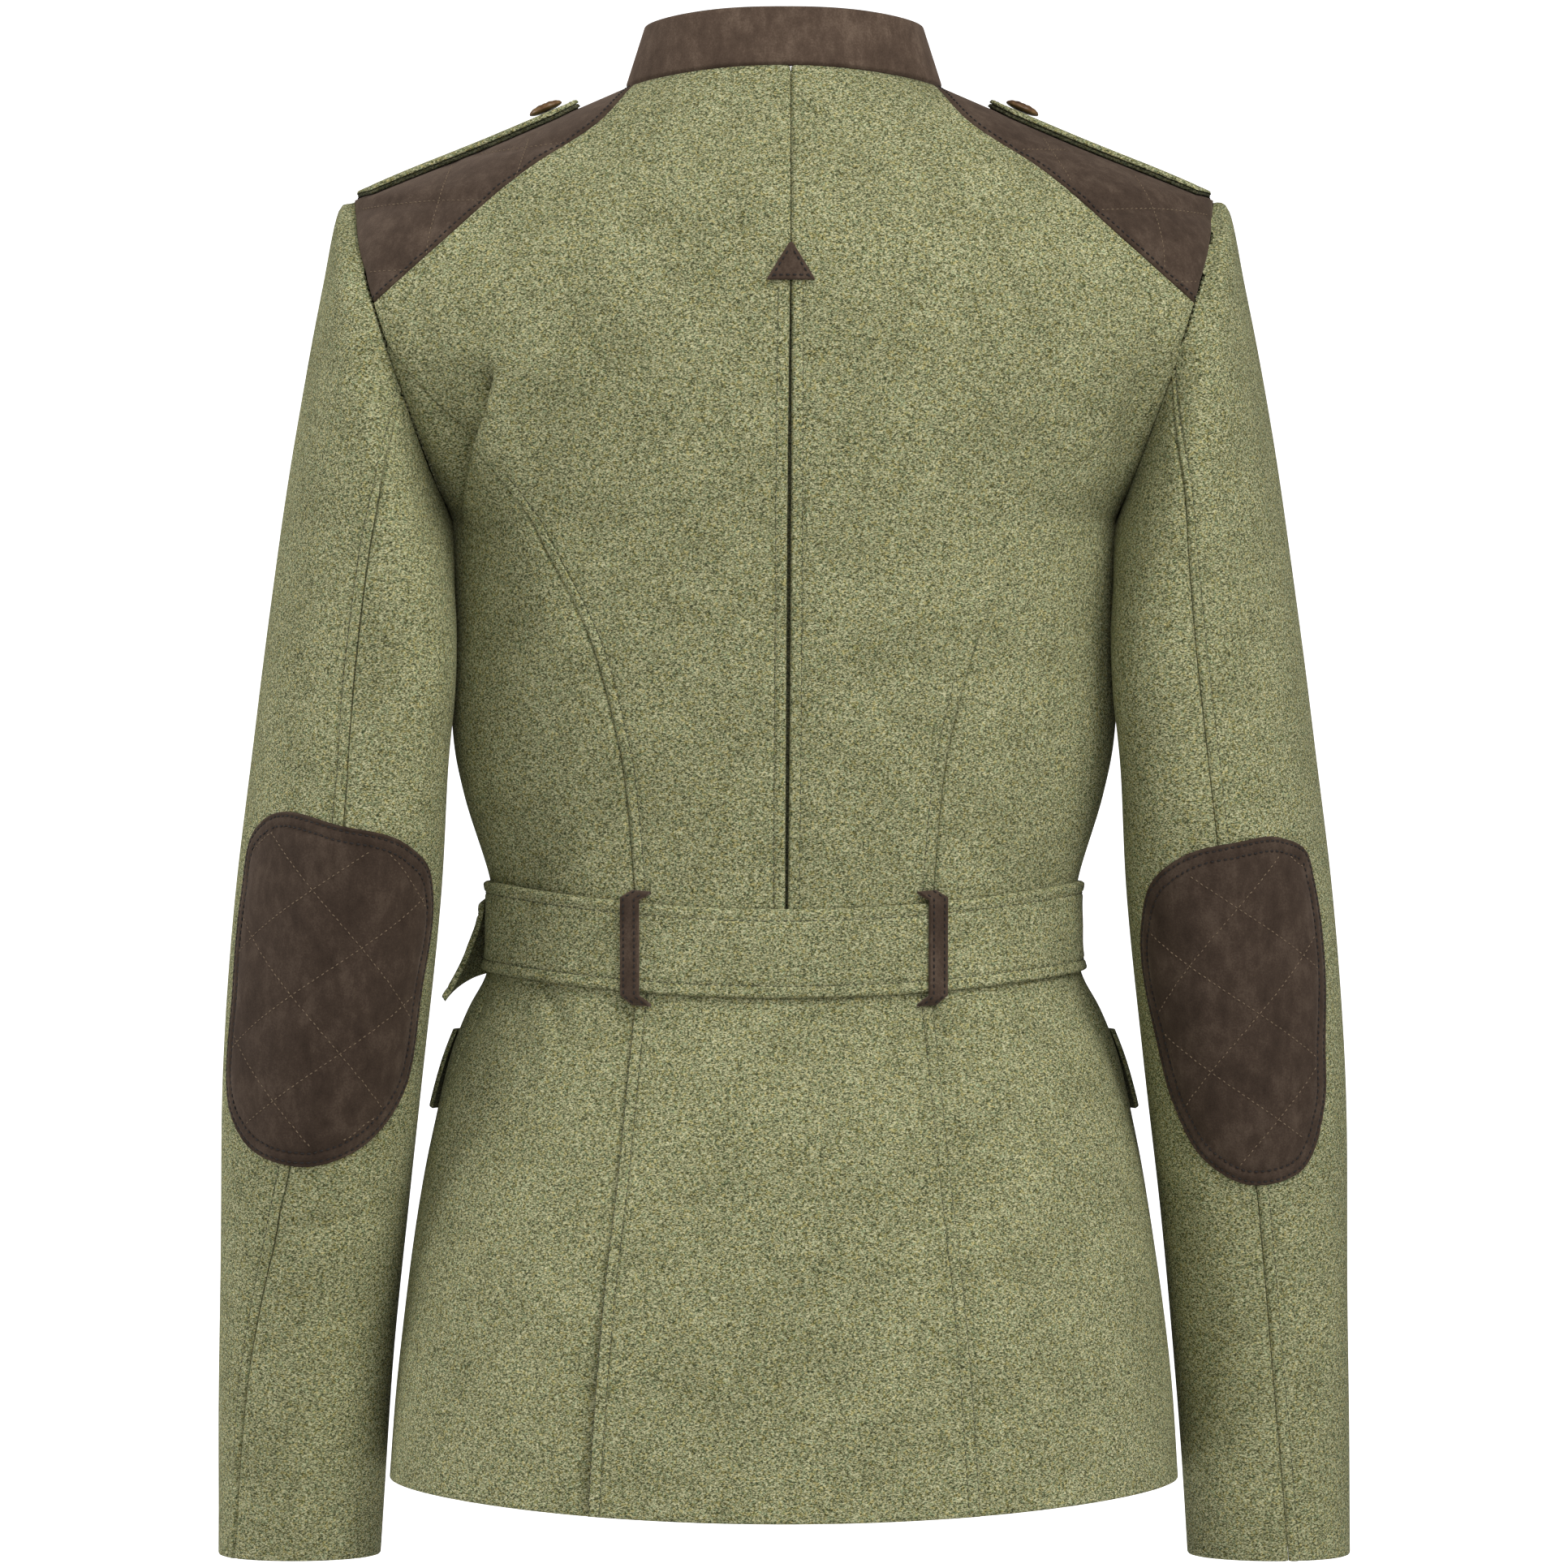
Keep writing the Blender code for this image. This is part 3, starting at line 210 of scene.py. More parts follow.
# Belt: its tail runs over the left front and flares away from the left side
TAIL_SPLAY = 15.0
TAIL_DROOP = 9.0
TAIL_REACH = 0.55
BELT_EASE = 110.0
BELT_EASE_POWER = 0.3
BELT_CLIMB = (0.78, 0.92)
TAIL_END = 0.93
LOOP_X = 65.5
LOOP_WIDE = 8.0
LOOP_RETURN = 4.0
LOOP_STATIONS = (0, 0.1, 0.5, 0.9, 1)
LOOP_LEVELS = (5.62, 5.84, 7, 8.08, 8.17)
LOOP_BOW = (0, 1, 1, 1, 0)

# Epaulettes, flaps, tab and buttons
EPAULETTE_HALF = 21.0
EPAULETTE_TIP = 9.0
EPAULETTE_NARROW = 0.8
EPAULETTE_SPAN = (LEVEL["tip"] + 0.03, LEVEL["shoulder"] + 0.66)
EPAULETTE_BUTTON = LEVEL["shoulder"] + 0.46
FLAP_SPAN = (0.40, 0.86)
FLAP_LEVELS = (LEVEL["hip_high"] - 0.55, LEVEL["hip_high"] + 0.55)
FLAP_STAND = 2.4
FLAP_CURL = 1.5
TAB_WIDE = 21.0
TAB_POINT = 1.6
TAB_TOP_Z = -50.0
TAB_BASE_Z = -66.0
SMALL_BUTTON = (7.7, 4.0)
FRONT_BUTTON = (10.0, 4.5)
BELT_BUTTON_AT = 0.05
FRONT_BUTTON_Z = (-85, -140, -195, -250, -305)

# Grids of the fine shells, in millimetres: steps in from a worked edge, then even pitches
EDGE_STEPS = (0, 0.4, 0.8, 1.3, 1.9, 2.7, 3.6, 4.3, 4.8, 5.2, 5.7, 6.4, 7.6, 9.0)
EDGE_SHARE = 0.45
COLUMN_PITCH = 3.6
BACK_PITCH = 2.4
ROW_PITCH = 3.2
TRIM_PITCH = 1.6

# Relief of the cloth, in millimetres
SEAM_DEPTH = 1.2
SEAM_ROLL = 0.9
FOLD_RADIUS = 1.5
TOPSTITCH = 5.0
EDGE_STITCH = 1.9
PATCH_STITCH = 6.4
GROOVE_DEPTH = 0.7
GROOVE_WIDE = 0.8
WELT_RISE = 0.35
DRAPE_DEPTH = 0.25
DRAPE_WAVES = ((0.058, 0.024, 0.3), (-0.027, 0.044, 1.7), (0.034, 0.036, 0.6), (0.013, -0.061, 2.2))

# Creases that bend the cloth: back (1) or front (-1), place, reach, lean (degrees), depth inwards
CREASE_COLUMNS = ("face", "x", "z", "wide", "tall", "lean", "depth")
LEFT_SLEEVE_CREASES = (
    (1, 186, -141, 20, 15, 0, 2.4), (1, 196.5, -266, 5, 22, -5, 1.6), (1, 196, -279, 8, 8, 0, 1.0),
    (1, 208, -468, 6, 22, 85, -1.2), (1, 207, -478, 6, 18, 63, 2.2), (1, 198, -491, 6, 18, 51, -1.6),
    (1, 198, -520, 7, 22, 57, 2.2), (1, 218, -552, 8, 14, 60, 1.0),
    (-1, 203, -262, 8, 20, 30, 1.6), (-1, 206, -304, 6, 18, -62, 2.0), (-1, 197, -326, 7, 20, -55, 1.6),
)
RIGHT_SLEEVE_CREASES = (
    (1, -171, -474, 9, 12, 0, 1.6), (1, -192, -483, 6, 8, 0, -0.9), (1, -174, -495, 5, 14, -60, 1.2),
    (1, -196, -541, 7, 7, 0, -0.7), (1, -178, -550, 10, 14, 0, 1.0), (1, -195, -185, 9, 12, 20, 0.7),
    (-1, -201, -256, 7, 18, -26, 1.4), (-1, -207, -309, 6, 17, 60, 1.9), (-1, -198, -334, 7, 16, 54, 1.4),
)
BODY_CREASES = (
    (1, -155, -116, 6, 28, 8, 5.0), (1, 100, -384, 4, 14, -17, 3.0), (1, 91, -383, 5, 13, -17, -1.5),
    (1, 122, -318, 9, 20, -25, 3.0),
    (-1, 149, -124, 8, 27, -10, 3.0), (-1, -151, -121, 7, 25, 9, 2.6), (-1, 97, -389, 5, 14, 12, 2.0),
    (-1, -92, -386, 4, 12, -10, 1.6),
)
CREASES = LEFT_SLEEVE_CREASES + RIGHT_SLEEVE_CREASES + BODY_CREASES

# Fold beside the left armhole: its sharp edge as (x, z) from below, and the hollow behind it
HOLLOW_EDGE = ((142.5, -159.0), (138.7, -139.0), (131.4, -122.0), (126.7, -105.0))
HOLLOW_ENDS = (-176.0, -150.0, -116.0, -96.0)
HOLLOW_DEPTH = 19.0
HOLLOW_REACH = 10.0
HOLLOW_LIP = 1.1

# Valley along the back of the armholes: how much it is filled, how far, and between which turns
VALLEY_FILL = 5.0
VALLEY_REACH = 13.0
VALLEY_SPAN = (0.12, 0.72)
VALLEY_STEPS = 60
VALLEY_FRONT = 30.0
ARMHOLE_STEPS = 400
ARMHOLE_SINK = 1.6

# Vent at the foot of the skirt seams, with the row of stitches at its head as (x, z)
VENT_TOP = -480.0
VENT_LONG = 60.0
VENT_LIFT = 2.6
VENT_REACH = 14.0
VENT_TACK = ((74.5, -480.0), (65.5, -486.5))

# Sewing: pitch, length of a stitch and thickness of the thread
STITCH = {"topstitch": (3.2, 2.5, 0.42), "edge": (2.9, 2.3, 0.8), "quilting": (2.6, 1.7, 0.5),
          "seam": (3.0, 3.4, 1.8)}
STITCH_SIDES = 5
LINE_PITCH = 1.0
FAR_OFF = 1.0
STITCH_RINGS = ((0.0, -0.5, 0.4), (0.3, 0.25, 1.0), (0.7, 0.25, 1.0), (1.0, -0.5, 0.4))

# Heights where rows of stitches stop, in millimetres
WAIST_HEIGHT = -360.0
PRINCESS_HEIGHT = {"left": -150.0, "right": -236.0}
YOKE_CORNER_HEIGHT = -92.0
ARMPIT_HEIGHT = -165.0
FAINT_SEAM = (-255.0, -215.0)
FAINT_DEPTH = 0.25

# Trim: pitches and roundings in millimetres
YOKE_PITCH = 2.4
YOKE_TROUGH = 0.9
YOKE_TROUGH_WIDE = 4.0
RIM_SHARE = 0.97
# Stitch row at the very edge of the skirt seams: real edge stitching, placed to draw the seam's dark shadow
# line as painted shade
SEAM_ROW = 0.5
TIP_LONG = 35.0
TIP_THIN = 0.6
LOOP_KNOTS = 11
LOOP_PITCH = 0.7
LOOP_ROUND = 0.8
EPAULETTE_KNOTS = 11
LAYER_GAP = 0.3
LAYER_ROUND = 1.0
BUTTON_SEGMENTS = 64
BUTTON_RINGS = 40
BUTTON_CROWN = 0.75
BUTTON_BELLY = 0.35
BRAID_STRIPS = 3.0
BRAID_DIP = 0.35
BRAID_DEPTH = 0.9
BRAID_EDGE = 0.12

# Studio, in metres and watts: the photo's camera, and lights by name, place, size and power
SENSOR = 36.0
CAMERA_Y = 3.5
CAMERA_Z = -0.28296
VIEW_SIDE = 0.69552
AIM = Vector((0.0, 0.0, -0.28))
FLOOR_Z = -1.5
BACKDROP_Y = -6.0
FLOOR_SIZE = 30.0
BACKDROP_SIZE = 2.4
BACKDROP_GLOW = 1.0
WORLD_STRENGTH = 0.10
WHITE = (1.0, 1.0, 1.0, 1.0)
WHITE_NOISE = 2.0
WHITE_STOPS = ((0.0, (0.96, 0.96, 0.96)), (1.0, (1.0, 1.0, 1.0)))
LIGHTS = (
    ("key", (-1.6, 2.2, 2.2), 1.4, 60.0),
    ("low_key", (-1.8, 2.6, 0.5), 1.4, 15.0),
    ("top", (-0.4, 1.6, 2.8), 1.6, 26.0),
    ("front", (0.0, 3.4, 0.8), 1.6, 25.0),
    ("side", (2.6, -0.1, 0.3), 1.0, 34.0),
)


def smooth_column(values, level, corners=()):
    """A column of a table at fractional rows, smooth except at the corner rows."""
    step = np.diff(values)
    leave = np.gradient(values)
    arrive = leave.copy()
    for row in corners:
        leave[row] = step[row]
        arrive[row] = step[row - 1]
    row = np.clip(np.floor(level).astype(int), 0, len(values) - 2)
    t = level - row
    start = values[row]
    end = values[row + 1]
    bend = t * (1 - t) * ((1 - t) * leave[row] - t * arrive[row + 1])
    return start + (end - start) * t * t * (3 - 2 * t) + bend


def column(key, level):
    """A body column at fractional levels."""
    corners = CORNERS if key in EDGE_COLUMNS else ()
    return smooth_column(TABLE[key].astype(float), level, corners)


def edge_point(face, level):
    """Edge of a quarter section: side seam, then armhole, then shoulder ridge."""
    return np.stack([column(face + axis, level) for axis in "xyz"], axis=-1)


def soft_spot(spot, x, z, size):
    """Soft round-ended ridge or trough at a place on the photo's plane."""
    lean = math.radians(spot["lean"])
    across = (x - spot["x"]) * math.cos(lean) + (z - spot["z"]) * math.sin(lean)
    along = (z - spot["z"]) * math.cos(lean) - (x - spot["x"]) * math.sin(lean)
    return spot[size] * np.exp(-(across / spot["wide"]) ** 2 - (along / spot["tall"]) ** 2)


def fold_push(face, x, z):
    """Outward push of the folds at a place on the body."""
    folds = (dict(zip(FOLD_COLUMNS, row)) for row in FOLDS if row[0] == face)
    return sum((soft_spot(fold, x, z, "push") for fold in folds), np.zeros_like(x))


def centre_keys(face):
    """Names of the centre columns of a face."""
    return ("cb_y", "cb_z") if face == "b" else ("cf_y", "cf_z")


def torso(face, sigma, level):
    """Outer point of the body, sigma 0 at the centre and 1 at the edge, negative on the right."""
    turn = np.radians(column(face + "_turn", level))
    power = column(face + "_pow", level)
    edge = edge_point(face, level)
    key_y, key_z = centre_keys(face)
    angle = np.abs(sigma) * turn
    across = (np.sin(angle) / np.sin(turn)) ** power
    fall = np.clip((np.cos(angle) - np.cos(turn)) / (1 - np.cos(turn)), 0, 1) ** power
    x = np.sign(sigma) * edge[..., 0] * across
    y = edge[..., 1] + (column(key_y, level) - edge[..., 1]) * fall
    centre_z = column(key_z, level)
    z = centre_z + (edge[..., 2] - centre_z) * np.minimum(across, 1) ** 2
    push = fold_push(face, x, z) * (1 - np.minimum(across, 1) ** EDGE_HOLD)
    return np.stack([x, y + push if face == "b" else y - push, z], axis=-1)


def sigma_at(face, x, level):
    """Sigma where a section reaches a distance from the centre plane."""
    turn = np.radians(column(face + "_turn", level))
    part = np.abs(x) / column(face + "x", level)
    part = np.clip(part, 0, 1) ** (1 / column(face + "_pow", level))
    return np.sign(x) * np.arcsin(np.clip(part * np.sin(turn), -1, 1)) / turn


def unit(vector):
    """Vectors made one long."""
    return vector / np.maximum(np.linalg.norm(vector, axis=-1, keepdims=True), 1e-9)


def torso_normal(face, sigma, level, step=SLOPE_STEP):
    """Outward direction of the body surface."""
    across = torso(face, np.minimum(sigma + step, 1), level)
    across = across - torso(face, np.maximum(sigma - step, -1), level)
    upward = torso(face, sigma, np.minimum(level + step, TOP))
    upward = upward - torso(face, sigma, np.maximum(level - step, 0))
    out = -1 if face == "b" else 1
    return out * unit(np.cross(across, upward))


def body_at(face, sigma, level):
    """Body points with their outward directions."""
    return torso(face, sigma, level), torso_normal(face, sigma, level)


def smooth_between(places, values, at):
    """Smooth curve through values at uneven places."""
    slope = np.gradient(values, places)
    k = np.clip(np.searchsorted(places, at, side="right") - 1, 0, len(places) - 2)
    span = places[k + 1] - places[k]
    t = (at - places[k]) / span
    bend = t * (1 - t) * span * ((1 - t) * slope[k] - t * slope[k + 1])
    return values[k] + (values[k + 1] - values[k]) * t * t * (3 - 2 * t) + bend


def seam_sigma(face, rows, level, ends=()):
    """Sigma of a seam given by distances at named levels, with extra (level, sigma) ends."""
    known = [(float(LEVEL[name]), x) for name, x in rows]
    knots = [(lv, float(sigma_at(face, np.array(x), np.array(lv)))) for lv, x in known]
    levels, sigmas = np.array(sorted(knots + list(ends))).T
    return smooth_between(levels, sigmas, np.clip(level, levels[0], levels[-1]))


def princess(level):
    """Sigma of the back princess seam, which ends on the armhole."""
    return seam_sigma("b", PRINCESS, level, ((PRINCESS_TOP, PRINCESS_END),))


def yoke_seam(face, level):
    """Sigma of the yoke seam, which starts on the armhole."""
    if face == "f":
        return seam_sigma(face, YOKE_FRONT, level, ((YOKE_CORNER, 1.0),))
    return back_yoke_seam(level)


def back_yoke_seam(level):
    """Sigma where each section of the back crosses the line of the yoke seam."""
    corner = edge_point("b", np.array(YOKE_CORNER))
    x, z = np.array(((corner[0], corner[2]),) + YOKE_BACK).T
    low = np.zeros_like(level)
    high = np.ones_like(level)
    for _ in range(SEAM_TRIES):
        middle = (low + high) / 2
        point = torso("b", middle, level)
        inside = point[..., 0] < smooth_between(z, x, np.clip(point[..., 2], z[0], z[-1]))
        low = np.where(inside, middle, low)
        high = np.where(inside, high, middle)
    return high


def section_width(face, level):
    """Length of sigma 0 to 1, taken as the half width of the section."""
    return column(face + "x", level) * ARC_SHARE


def spread(knots):
    """Grid rows spread over a list of stations, even between neighbours."""
    places = np.linspace(0, 1, len(knots))
    return lambda v: np.interp(v, places, knots)


def between(face, left, right, rows, push=None):
    """Panel between two seams, each a function of the level."""
    def place(u, v):
        """Points and outward directions between the seams."""
        level = rows(v)
        sigma = left(level) + (right(level) - left(level)) * u
        points, outward = body_at(face, sigma, level)
        if push is not None:
            points = points + outward * push(points[:, 0], level).reshape(-1, 1)
        return points, outward
    return place


def gap_sigma(face, level):
    """Half a seam gap as a part of sigma."""
    return SEAM / 2 / section_width(face, level)


def pleat_x(level):
    """Line of the centre pleat."""
    part = (level - LEVEL["waist"]) / (LEVEL["arm_high"] - LEVEL["waist"])
    return PLEAT_WAIST_X + (PLEAT_TOP_X - PLEAT_WAIST_X) * np.clip(part, 0, 1)


def level_at(z, key="cb_z"):
    """Level number where the centre back, or the centre front, has a height."""
    levels = np.linspace(0, TOP, FINE_LEVELS)
    return float(np.interp(z, column(key, levels), levels))


def pleat_edge(side):
    """Centre edge of a back panel, sewn above the tab and open below it."""
    def edge(level):
        """Sigma of the edge at a level."""
        part = (level - LEVEL["waist"]) / (level_at(TAB_BASE_Z) - LEVEL["waist"])
        wide = SEAM + (PLEAT_GAP - SEAM) * np.sqrt(np.sin(np.pi * np.clip(part, 0, 1)))
        return side * sigma_at("b", side * pleat_x(level) + wide / 2, level)
    return edge


def back_edge(level):
    """Outer edge of the back panel: princess seam, armhole, then yoke seam."""
    low = np.minimum(princess(level), 1)
    high = yoke_seam("b", level)
    sigma = np.where(level <= PRINCESS_TOP + SLOPE_STEP, low, np.where(level > YOKE_CORNER, high, 1.0))
    return sigma - gap_sigma("b", level)


def skirt_seam(level):
    """Sigma of the edge of the skirt's centre panel."""
    return seam_sigma("b", SKIRT_SEAM, level)


def skirt_side(side, rows):
    """Side panel of the skirt, drawn in where it passes under the centre panel."""
    def place(u, v):
        """Points and outward directions of the side panel."""
        level = rows(v)
        seam = skirt_seam(level)
        wide = section_width("b", level)
        stops = (seam - LAP_UNDER / wide, seam, seam + LAP_BLEND / wide, 1 - gap_sigma("b", level))
        part = [np.clip((u - low) / (high - low), 0, 1) for low, high in LAP_COLUMNS]
        sigma = stops[0] + sum((stops[k + 1] - stops[k]) * part[k] for k in range(3))
        points, outward = body_at("b", side * sigma, level)
        return points - outward * (LAP * (1 - part[1])).reshape(-1, 1), outward
    return place


def front_edge(level):
    """Outer edge of a front: side seam, armhole, then yoke seam."""
    sigma = np.where(level > YOKE_CORNER, yoke_seam("f", level), 1.0)
    return sigma - gap_sigma("f", level)


def front_push(x, level):
    """Right front lifted over the left where they lap."""
    part = np.clip((-x - 2 * FRONT_LAP) / FRONT_BLEND, 0, 1)
    return LAP * (1 - part * part * (3 - 2 * part))


def yoke_place(side):
    """Yoke from neck (u 0) to armhole (u 1), back seam (v 0) over the ridge to the front seam."""
    def place(u, v):
        """Points and outward directions of the yoke."""
        ridge = TOP + (LEVEL["tip"] - TOP) * u
        seam = spread(((YOKE_CORNER,) + YOKE_ROWS)[::-1])(u)
        part = np.abs(2 * v - 1)
        level = ridge + (seam - ridge) * part
        points = np.zeros((len(u), 3))
        outward = np.zeros((len(u), 3))
        for face, mask in (("b", v <= 0.5), ("f", v > 0.5)):
            edge = yoke_seam(face, seam[mask]) + gap_sigma(face, seam[mask]) * 2
            sigma = side * np.minimum(1 + (edge - 1) * part[mask], 1)
            points[mask], outward[mask] = body_at(face, sigma, level[mask])
        return points, outward
    return place


def collar_place(u, v):
    """Stand collar round the neck from the right front end to the left one."""
    turn = (2 * u - 1) * (1 - COLLAR_OPEN)
    part = 2 * np.abs(turn)
    side = np.sign(turn)
    foot = np.zeros((len(u), 3))
    head = np.zeros((len(u), 3))
    for face, mask in (("b", part <= 1), ("f", part > 1)):
        sigma = np.where(part <= 1, part, 2 - part)[mask] * side[mask]
        foot[mask] = torso(face, sigma, np.full(mask.sum(), float(TOP)))
        head[mask] = collar_head(face, sigma)
    rise = COLLAR_FOOT + v * (1 - COLLAR_FOOT)
    points = foot + (head - foot) * rise.reshape(-1, 1)
    return points, collar_outward(points, head - foot)


def collar_head(face, sigma):
    """Top ring of the collar."""
    key_y, key_z = centre_keys(face)
    angle = np.abs(sigma) * math.pi / 2
    top = COLLAR_TOP
    x = np.sign(sigma) * top["side_x"] * np.sin(angle) ** COLLAR_POWER
    y = top["side_y"] + (top[key_y] - top["side_y"]) * np.cos(angle) ** COLLAR_POWER
    z = top[key_z] + (top["side_z"] - top[key_z]) * np.sin(angle) ** 2
    return np.stack([x, y, z], axis=-1)


def collar_outward(points, upward):
    """Outward direction of the collar wall, level round the neck."""
    round_neck = points * np.array([1.0, NECK_ROUND, 0.0])
    along = np.cross(round_neck, np.array([0.0, 0.0, 1.0]))
    outward = np.cross(unit(upward), unit(along))
    flip = np.sign(np.sum(outward * round_neck, axis=-1, keepdims=True))
    return unit(outward * flip)


def armhole(psi):
    """Ring of the armhole: 0 at the shoulder tip, back at a quarter turn, underarm at half."""
    span = LEVEL["tip"] - LEVEL["underarm"]
    part = np.where(psi <= np.pi, psi / np.pi, 2 - psi / np.pi)
    level = LEVEL["tip"] - span * part
    back = (psi <= np.pi).reshape(-1, 1)
    return np.where(back, edge_point("b", level), edge_point("f", level))


def plain_ring(psi, ring):
    """Oval ring of the sleeve at a fractional ring number."""
    value = {key: smooth_column(RING[key], ring) for key in RING_COLUMNS}
    outer = np.stack([value["ox"], value["oy"], value["oz"]], axis=-1)
    inner = np.stack([value["ix"], value["iy"], value["iz"]], axis=-1)
    points = (outer + inner) / 2 + (outer - inner) / 2 * np.cos(psi).reshape(-1, 1)
    points[:, 0] += value["lead"] * np.sin(psi) ** 2
    points[:, 1] += value["depth"] * np.sin(psi)
    return points


def sleeve(psi, ring):
    """Left sleeve surface, exact on the armhole and oval below the cap."""
    psi = np.mod(psi, 2 * np.pi)
    fade = np.clip(1 - ring / ARMHOLE_FADE, 0, 1) ** 2
    start = armhole(psi) - plain_ring(psi, np.zeros_like(ring))
    return plain_ring(psi, ring) + start * fade.reshape(-1, 1)


def sleeve_at(side, psi, ring, step=SLOPE_STEP):
    """Sleeve points with outward directions, mirrored for the right sleeve."""
    points = sleeve(psi, ring)
    around = sleeve(psi + step, ring) - sleeve(psi - step, ring)
    down = sleeve(psi, np.minimum(ring + step, CUFF)) - sleeve(psi, np.maximum(ring - step, 0))
    outward = unit(np.cross(down, around))
    mirror = np.array([side, 1.0, 1.0])
    return points * mirror, outward * mirror


def sleeve_place(side, seam, start_turn, end_turn, rows):
    """Sleeve panel between two seams, each a function of the ring number."""
    def place(u, v):
        """Points and outward directions of the sleeve panel."""
        ring = rows(v)
        psi = start_turn(seam(ring)) + (end_turn(seam(ring)) - start_turn(seam(ring))) * u
        top = np.zeros_like(psi)
        speed = np.linalg.norm(sleeve(psi, top + SLOPE_STEP) - sleeve(psi, top), axis=-1) / SLOPE_STEP
        ring = np.maximum(ring, SEAM / speed)
        return sleeve_at(side, psi, ring)
    return place


def ring_at(psi, z, ring):
    """Ring number where the sleeve has a height, from a first guess."""
    for _ in range(RING_TRIES):
        miss = sleeve(psi, ring)[:, 2] - z
        ring = np.clip(ring + miss / RING_PITCH, 0, CUFF)
    return ring


def ring_guess(z):
    """First guess of the ring number at a height."""
    return np.interp(-z, -(RING["oz"] + RING["iz"]) / 2, np.arange(len(RINGS), dtype=float))


def find_on_sleeve(x, z):
    """Turn and ring of the sleeve's back where it shows at x and z."""
    ring = ring_guess(z)
    for _ in range(RING_TRIES):
        low = plain_ring(np.full_like(ring, math.pi), ring)
        high = plain_ring(np.zeros_like(ring), ring)
        part = (2 * x - low[:, 0] - high[:, 0]) / (high[:, 0] - low[:, 0])
        psi = np.arccos(np.clip(part, -1, 1))
        ring = ring_at(psi, z, ring)
    return psi, ring


def closed_line(x, z):
    """Smooth closed line through points on the sleeve, as turn and height by length run."""
    run = np.concatenate([[0], np.cumsum(np.hypot(np.diff(x, append=x[0]), np.diff(z, append=z[0])))])
    places = np.concatenate([run[-3:-1] - run[-1], run, run[1:3] + run[-1]])
    turn = find_on_sleeve(x, z)[0]
    rounds = [np.concatenate([part[-2:], part, part[:3]]) for part in (turn, z)]
    return run, lambda at: np.stack([smooth_between(places, part, at) for part in rounds], axis=-1)


def patch_spot(edges):
    """Turn and height of a patch filled in between the four stretches of its smooth outline."""
    top, inner, bottom, outer = (edges[key] for key in ("top", "inner", "bottom", "outer"))
    loop = top[:-1] + inner[:-1] + bottom[:0:-1] + outer[:0:-1]
    run, line = closed_line(*np.array(loop).T)
    stops = run[np.cumsum([0] + [len(edge) - 1 for edge in (top, inner, bottom, outer)])]

    def stretch(first, last, t):
        """Part of the outline between two of its corners."""
        return line(stops[first] + (stops[last] - stops[first]) * t)

    def spot(u, v):
        """Turn and height inside the outline."""
        a = u.reshape(-1, 1)
        b = v.reshape(-1, 1)
        flat = (1 - b) * stretch(0, 1, u) + b * stretch(3, 2, u)
        flat = flat + (1 - a) * stretch(4, 3, v) + a * stretch(1, 2, v)
        ends = (1 - b) * ((1 - a) * stretch(0, 1, 0 * u) + a * stretch(0, 1, 0 * u + 1))
        ends = ends + b * ((1 - a) * stretch(3, 2, 0 * u) + a * stretch(3, 2, 0 * u + 1))
        return (flat - ends).T
    return spot


def on_sleeve(side, turn, z):
    """Sleeve points and outward directions at a turn and a height."""
    return sleeve_at(side, turn, ring_at(turn, z, ring_guess(z)))


def belt_path(t):
    """Way of the belt: face, sigma and layer for t from 0 at the front round to the tail end."""
    round_body = np.clip(t, 0, 1) * 4
    tail = np.clip(t - 1, 0, 1) * 4
    front_out = np.where(t <= 1, np.where(round_body < 1, round_body, round_body - 4), tail)
    face_front = (t > 1) | (round_body < 1) | (round_body > 3)
    back = 2 - round_body
    layer = np.clip((t - BELT_CLIMB[0]) / (BELT_CLIMB[1] - BELT_CLIMB[0]), 0, 1)
    return face_front, np.where(face_front, front_out, back), layer * layer * (3 - 2 * layer)


def belt_place(u, v):
    """Belt strip: u along it from the centre front, v from its lower to its upper edge."""
    t = u * (1 + TAIL_END / 4)
    face_front, sigma, layer = belt_path(t)
    level = LEVEL["belt_low"] + 2 * v
    points = np.zeros((len(u), 3))
    outward = np.zeros((len(u), 3))
    for face, mask in (("f", face_front), ("b", ~face_front)):
        points[mask], outward[mask] = body_at(face, sigma[mask], level[mask])
    near_front = np.clip(1 - np.abs(points[:, 0]) / BELT_EASE, 0, 1) ** BELT_EASE_POWER
    over_front = np.where(face_front, LAP, 0.0) * near_front
    lift = over_front + layer * (BELT_WALL + SEAM + REST)
    splay = np.clip((t - 1) * 4 / TAIL_END - TAIL_REACH, 0, 1) / (1 - TAIL_REACH)
    lift = lift + TAIL_SPLAY * splay ** 2 * (1 - v)
    points = points + outward * lift.reshape(-1, 1)
    points[:, 2] -= TAIL_DROOP * splay ** 2 * (2 - v)
    return points, outward


def loop_place(side):
    """Belt loop: sewn above and below the belt and bowed out over it."""
    reach = BELT_WALL + 2 * REST

    def place(u, v):
        """Points and outward directions of the loop."""
        bow = np.interp(v, LOOP_STATIONS, LOOP_BOW)
        level = np.interp(v, LOOP_STATIONS, LOOP_LEVELS)
        x = side * (LOOP_X - LOOP_RETURN * (1 - bow) + (u - 0.5) * LOOP_WIDE)
        points, outward = body_at("b", sigma_at("b", x, level), level)
        return points + outward * (REST + reach * bow).reshape(-1, 1), outward
    return place


def ridge_sigma(face, level, half):
    """Sigma of a line that runs beside the shoulder ridge."""
    depth = np.abs(column(centre_keys(face)[0], level) - column(face + "y", level))
    part = np.clip(half / depth, 0, 1) ** (1 / column(face + "_pow", level))
    return np.arccos(part) / (math.pi / 2)


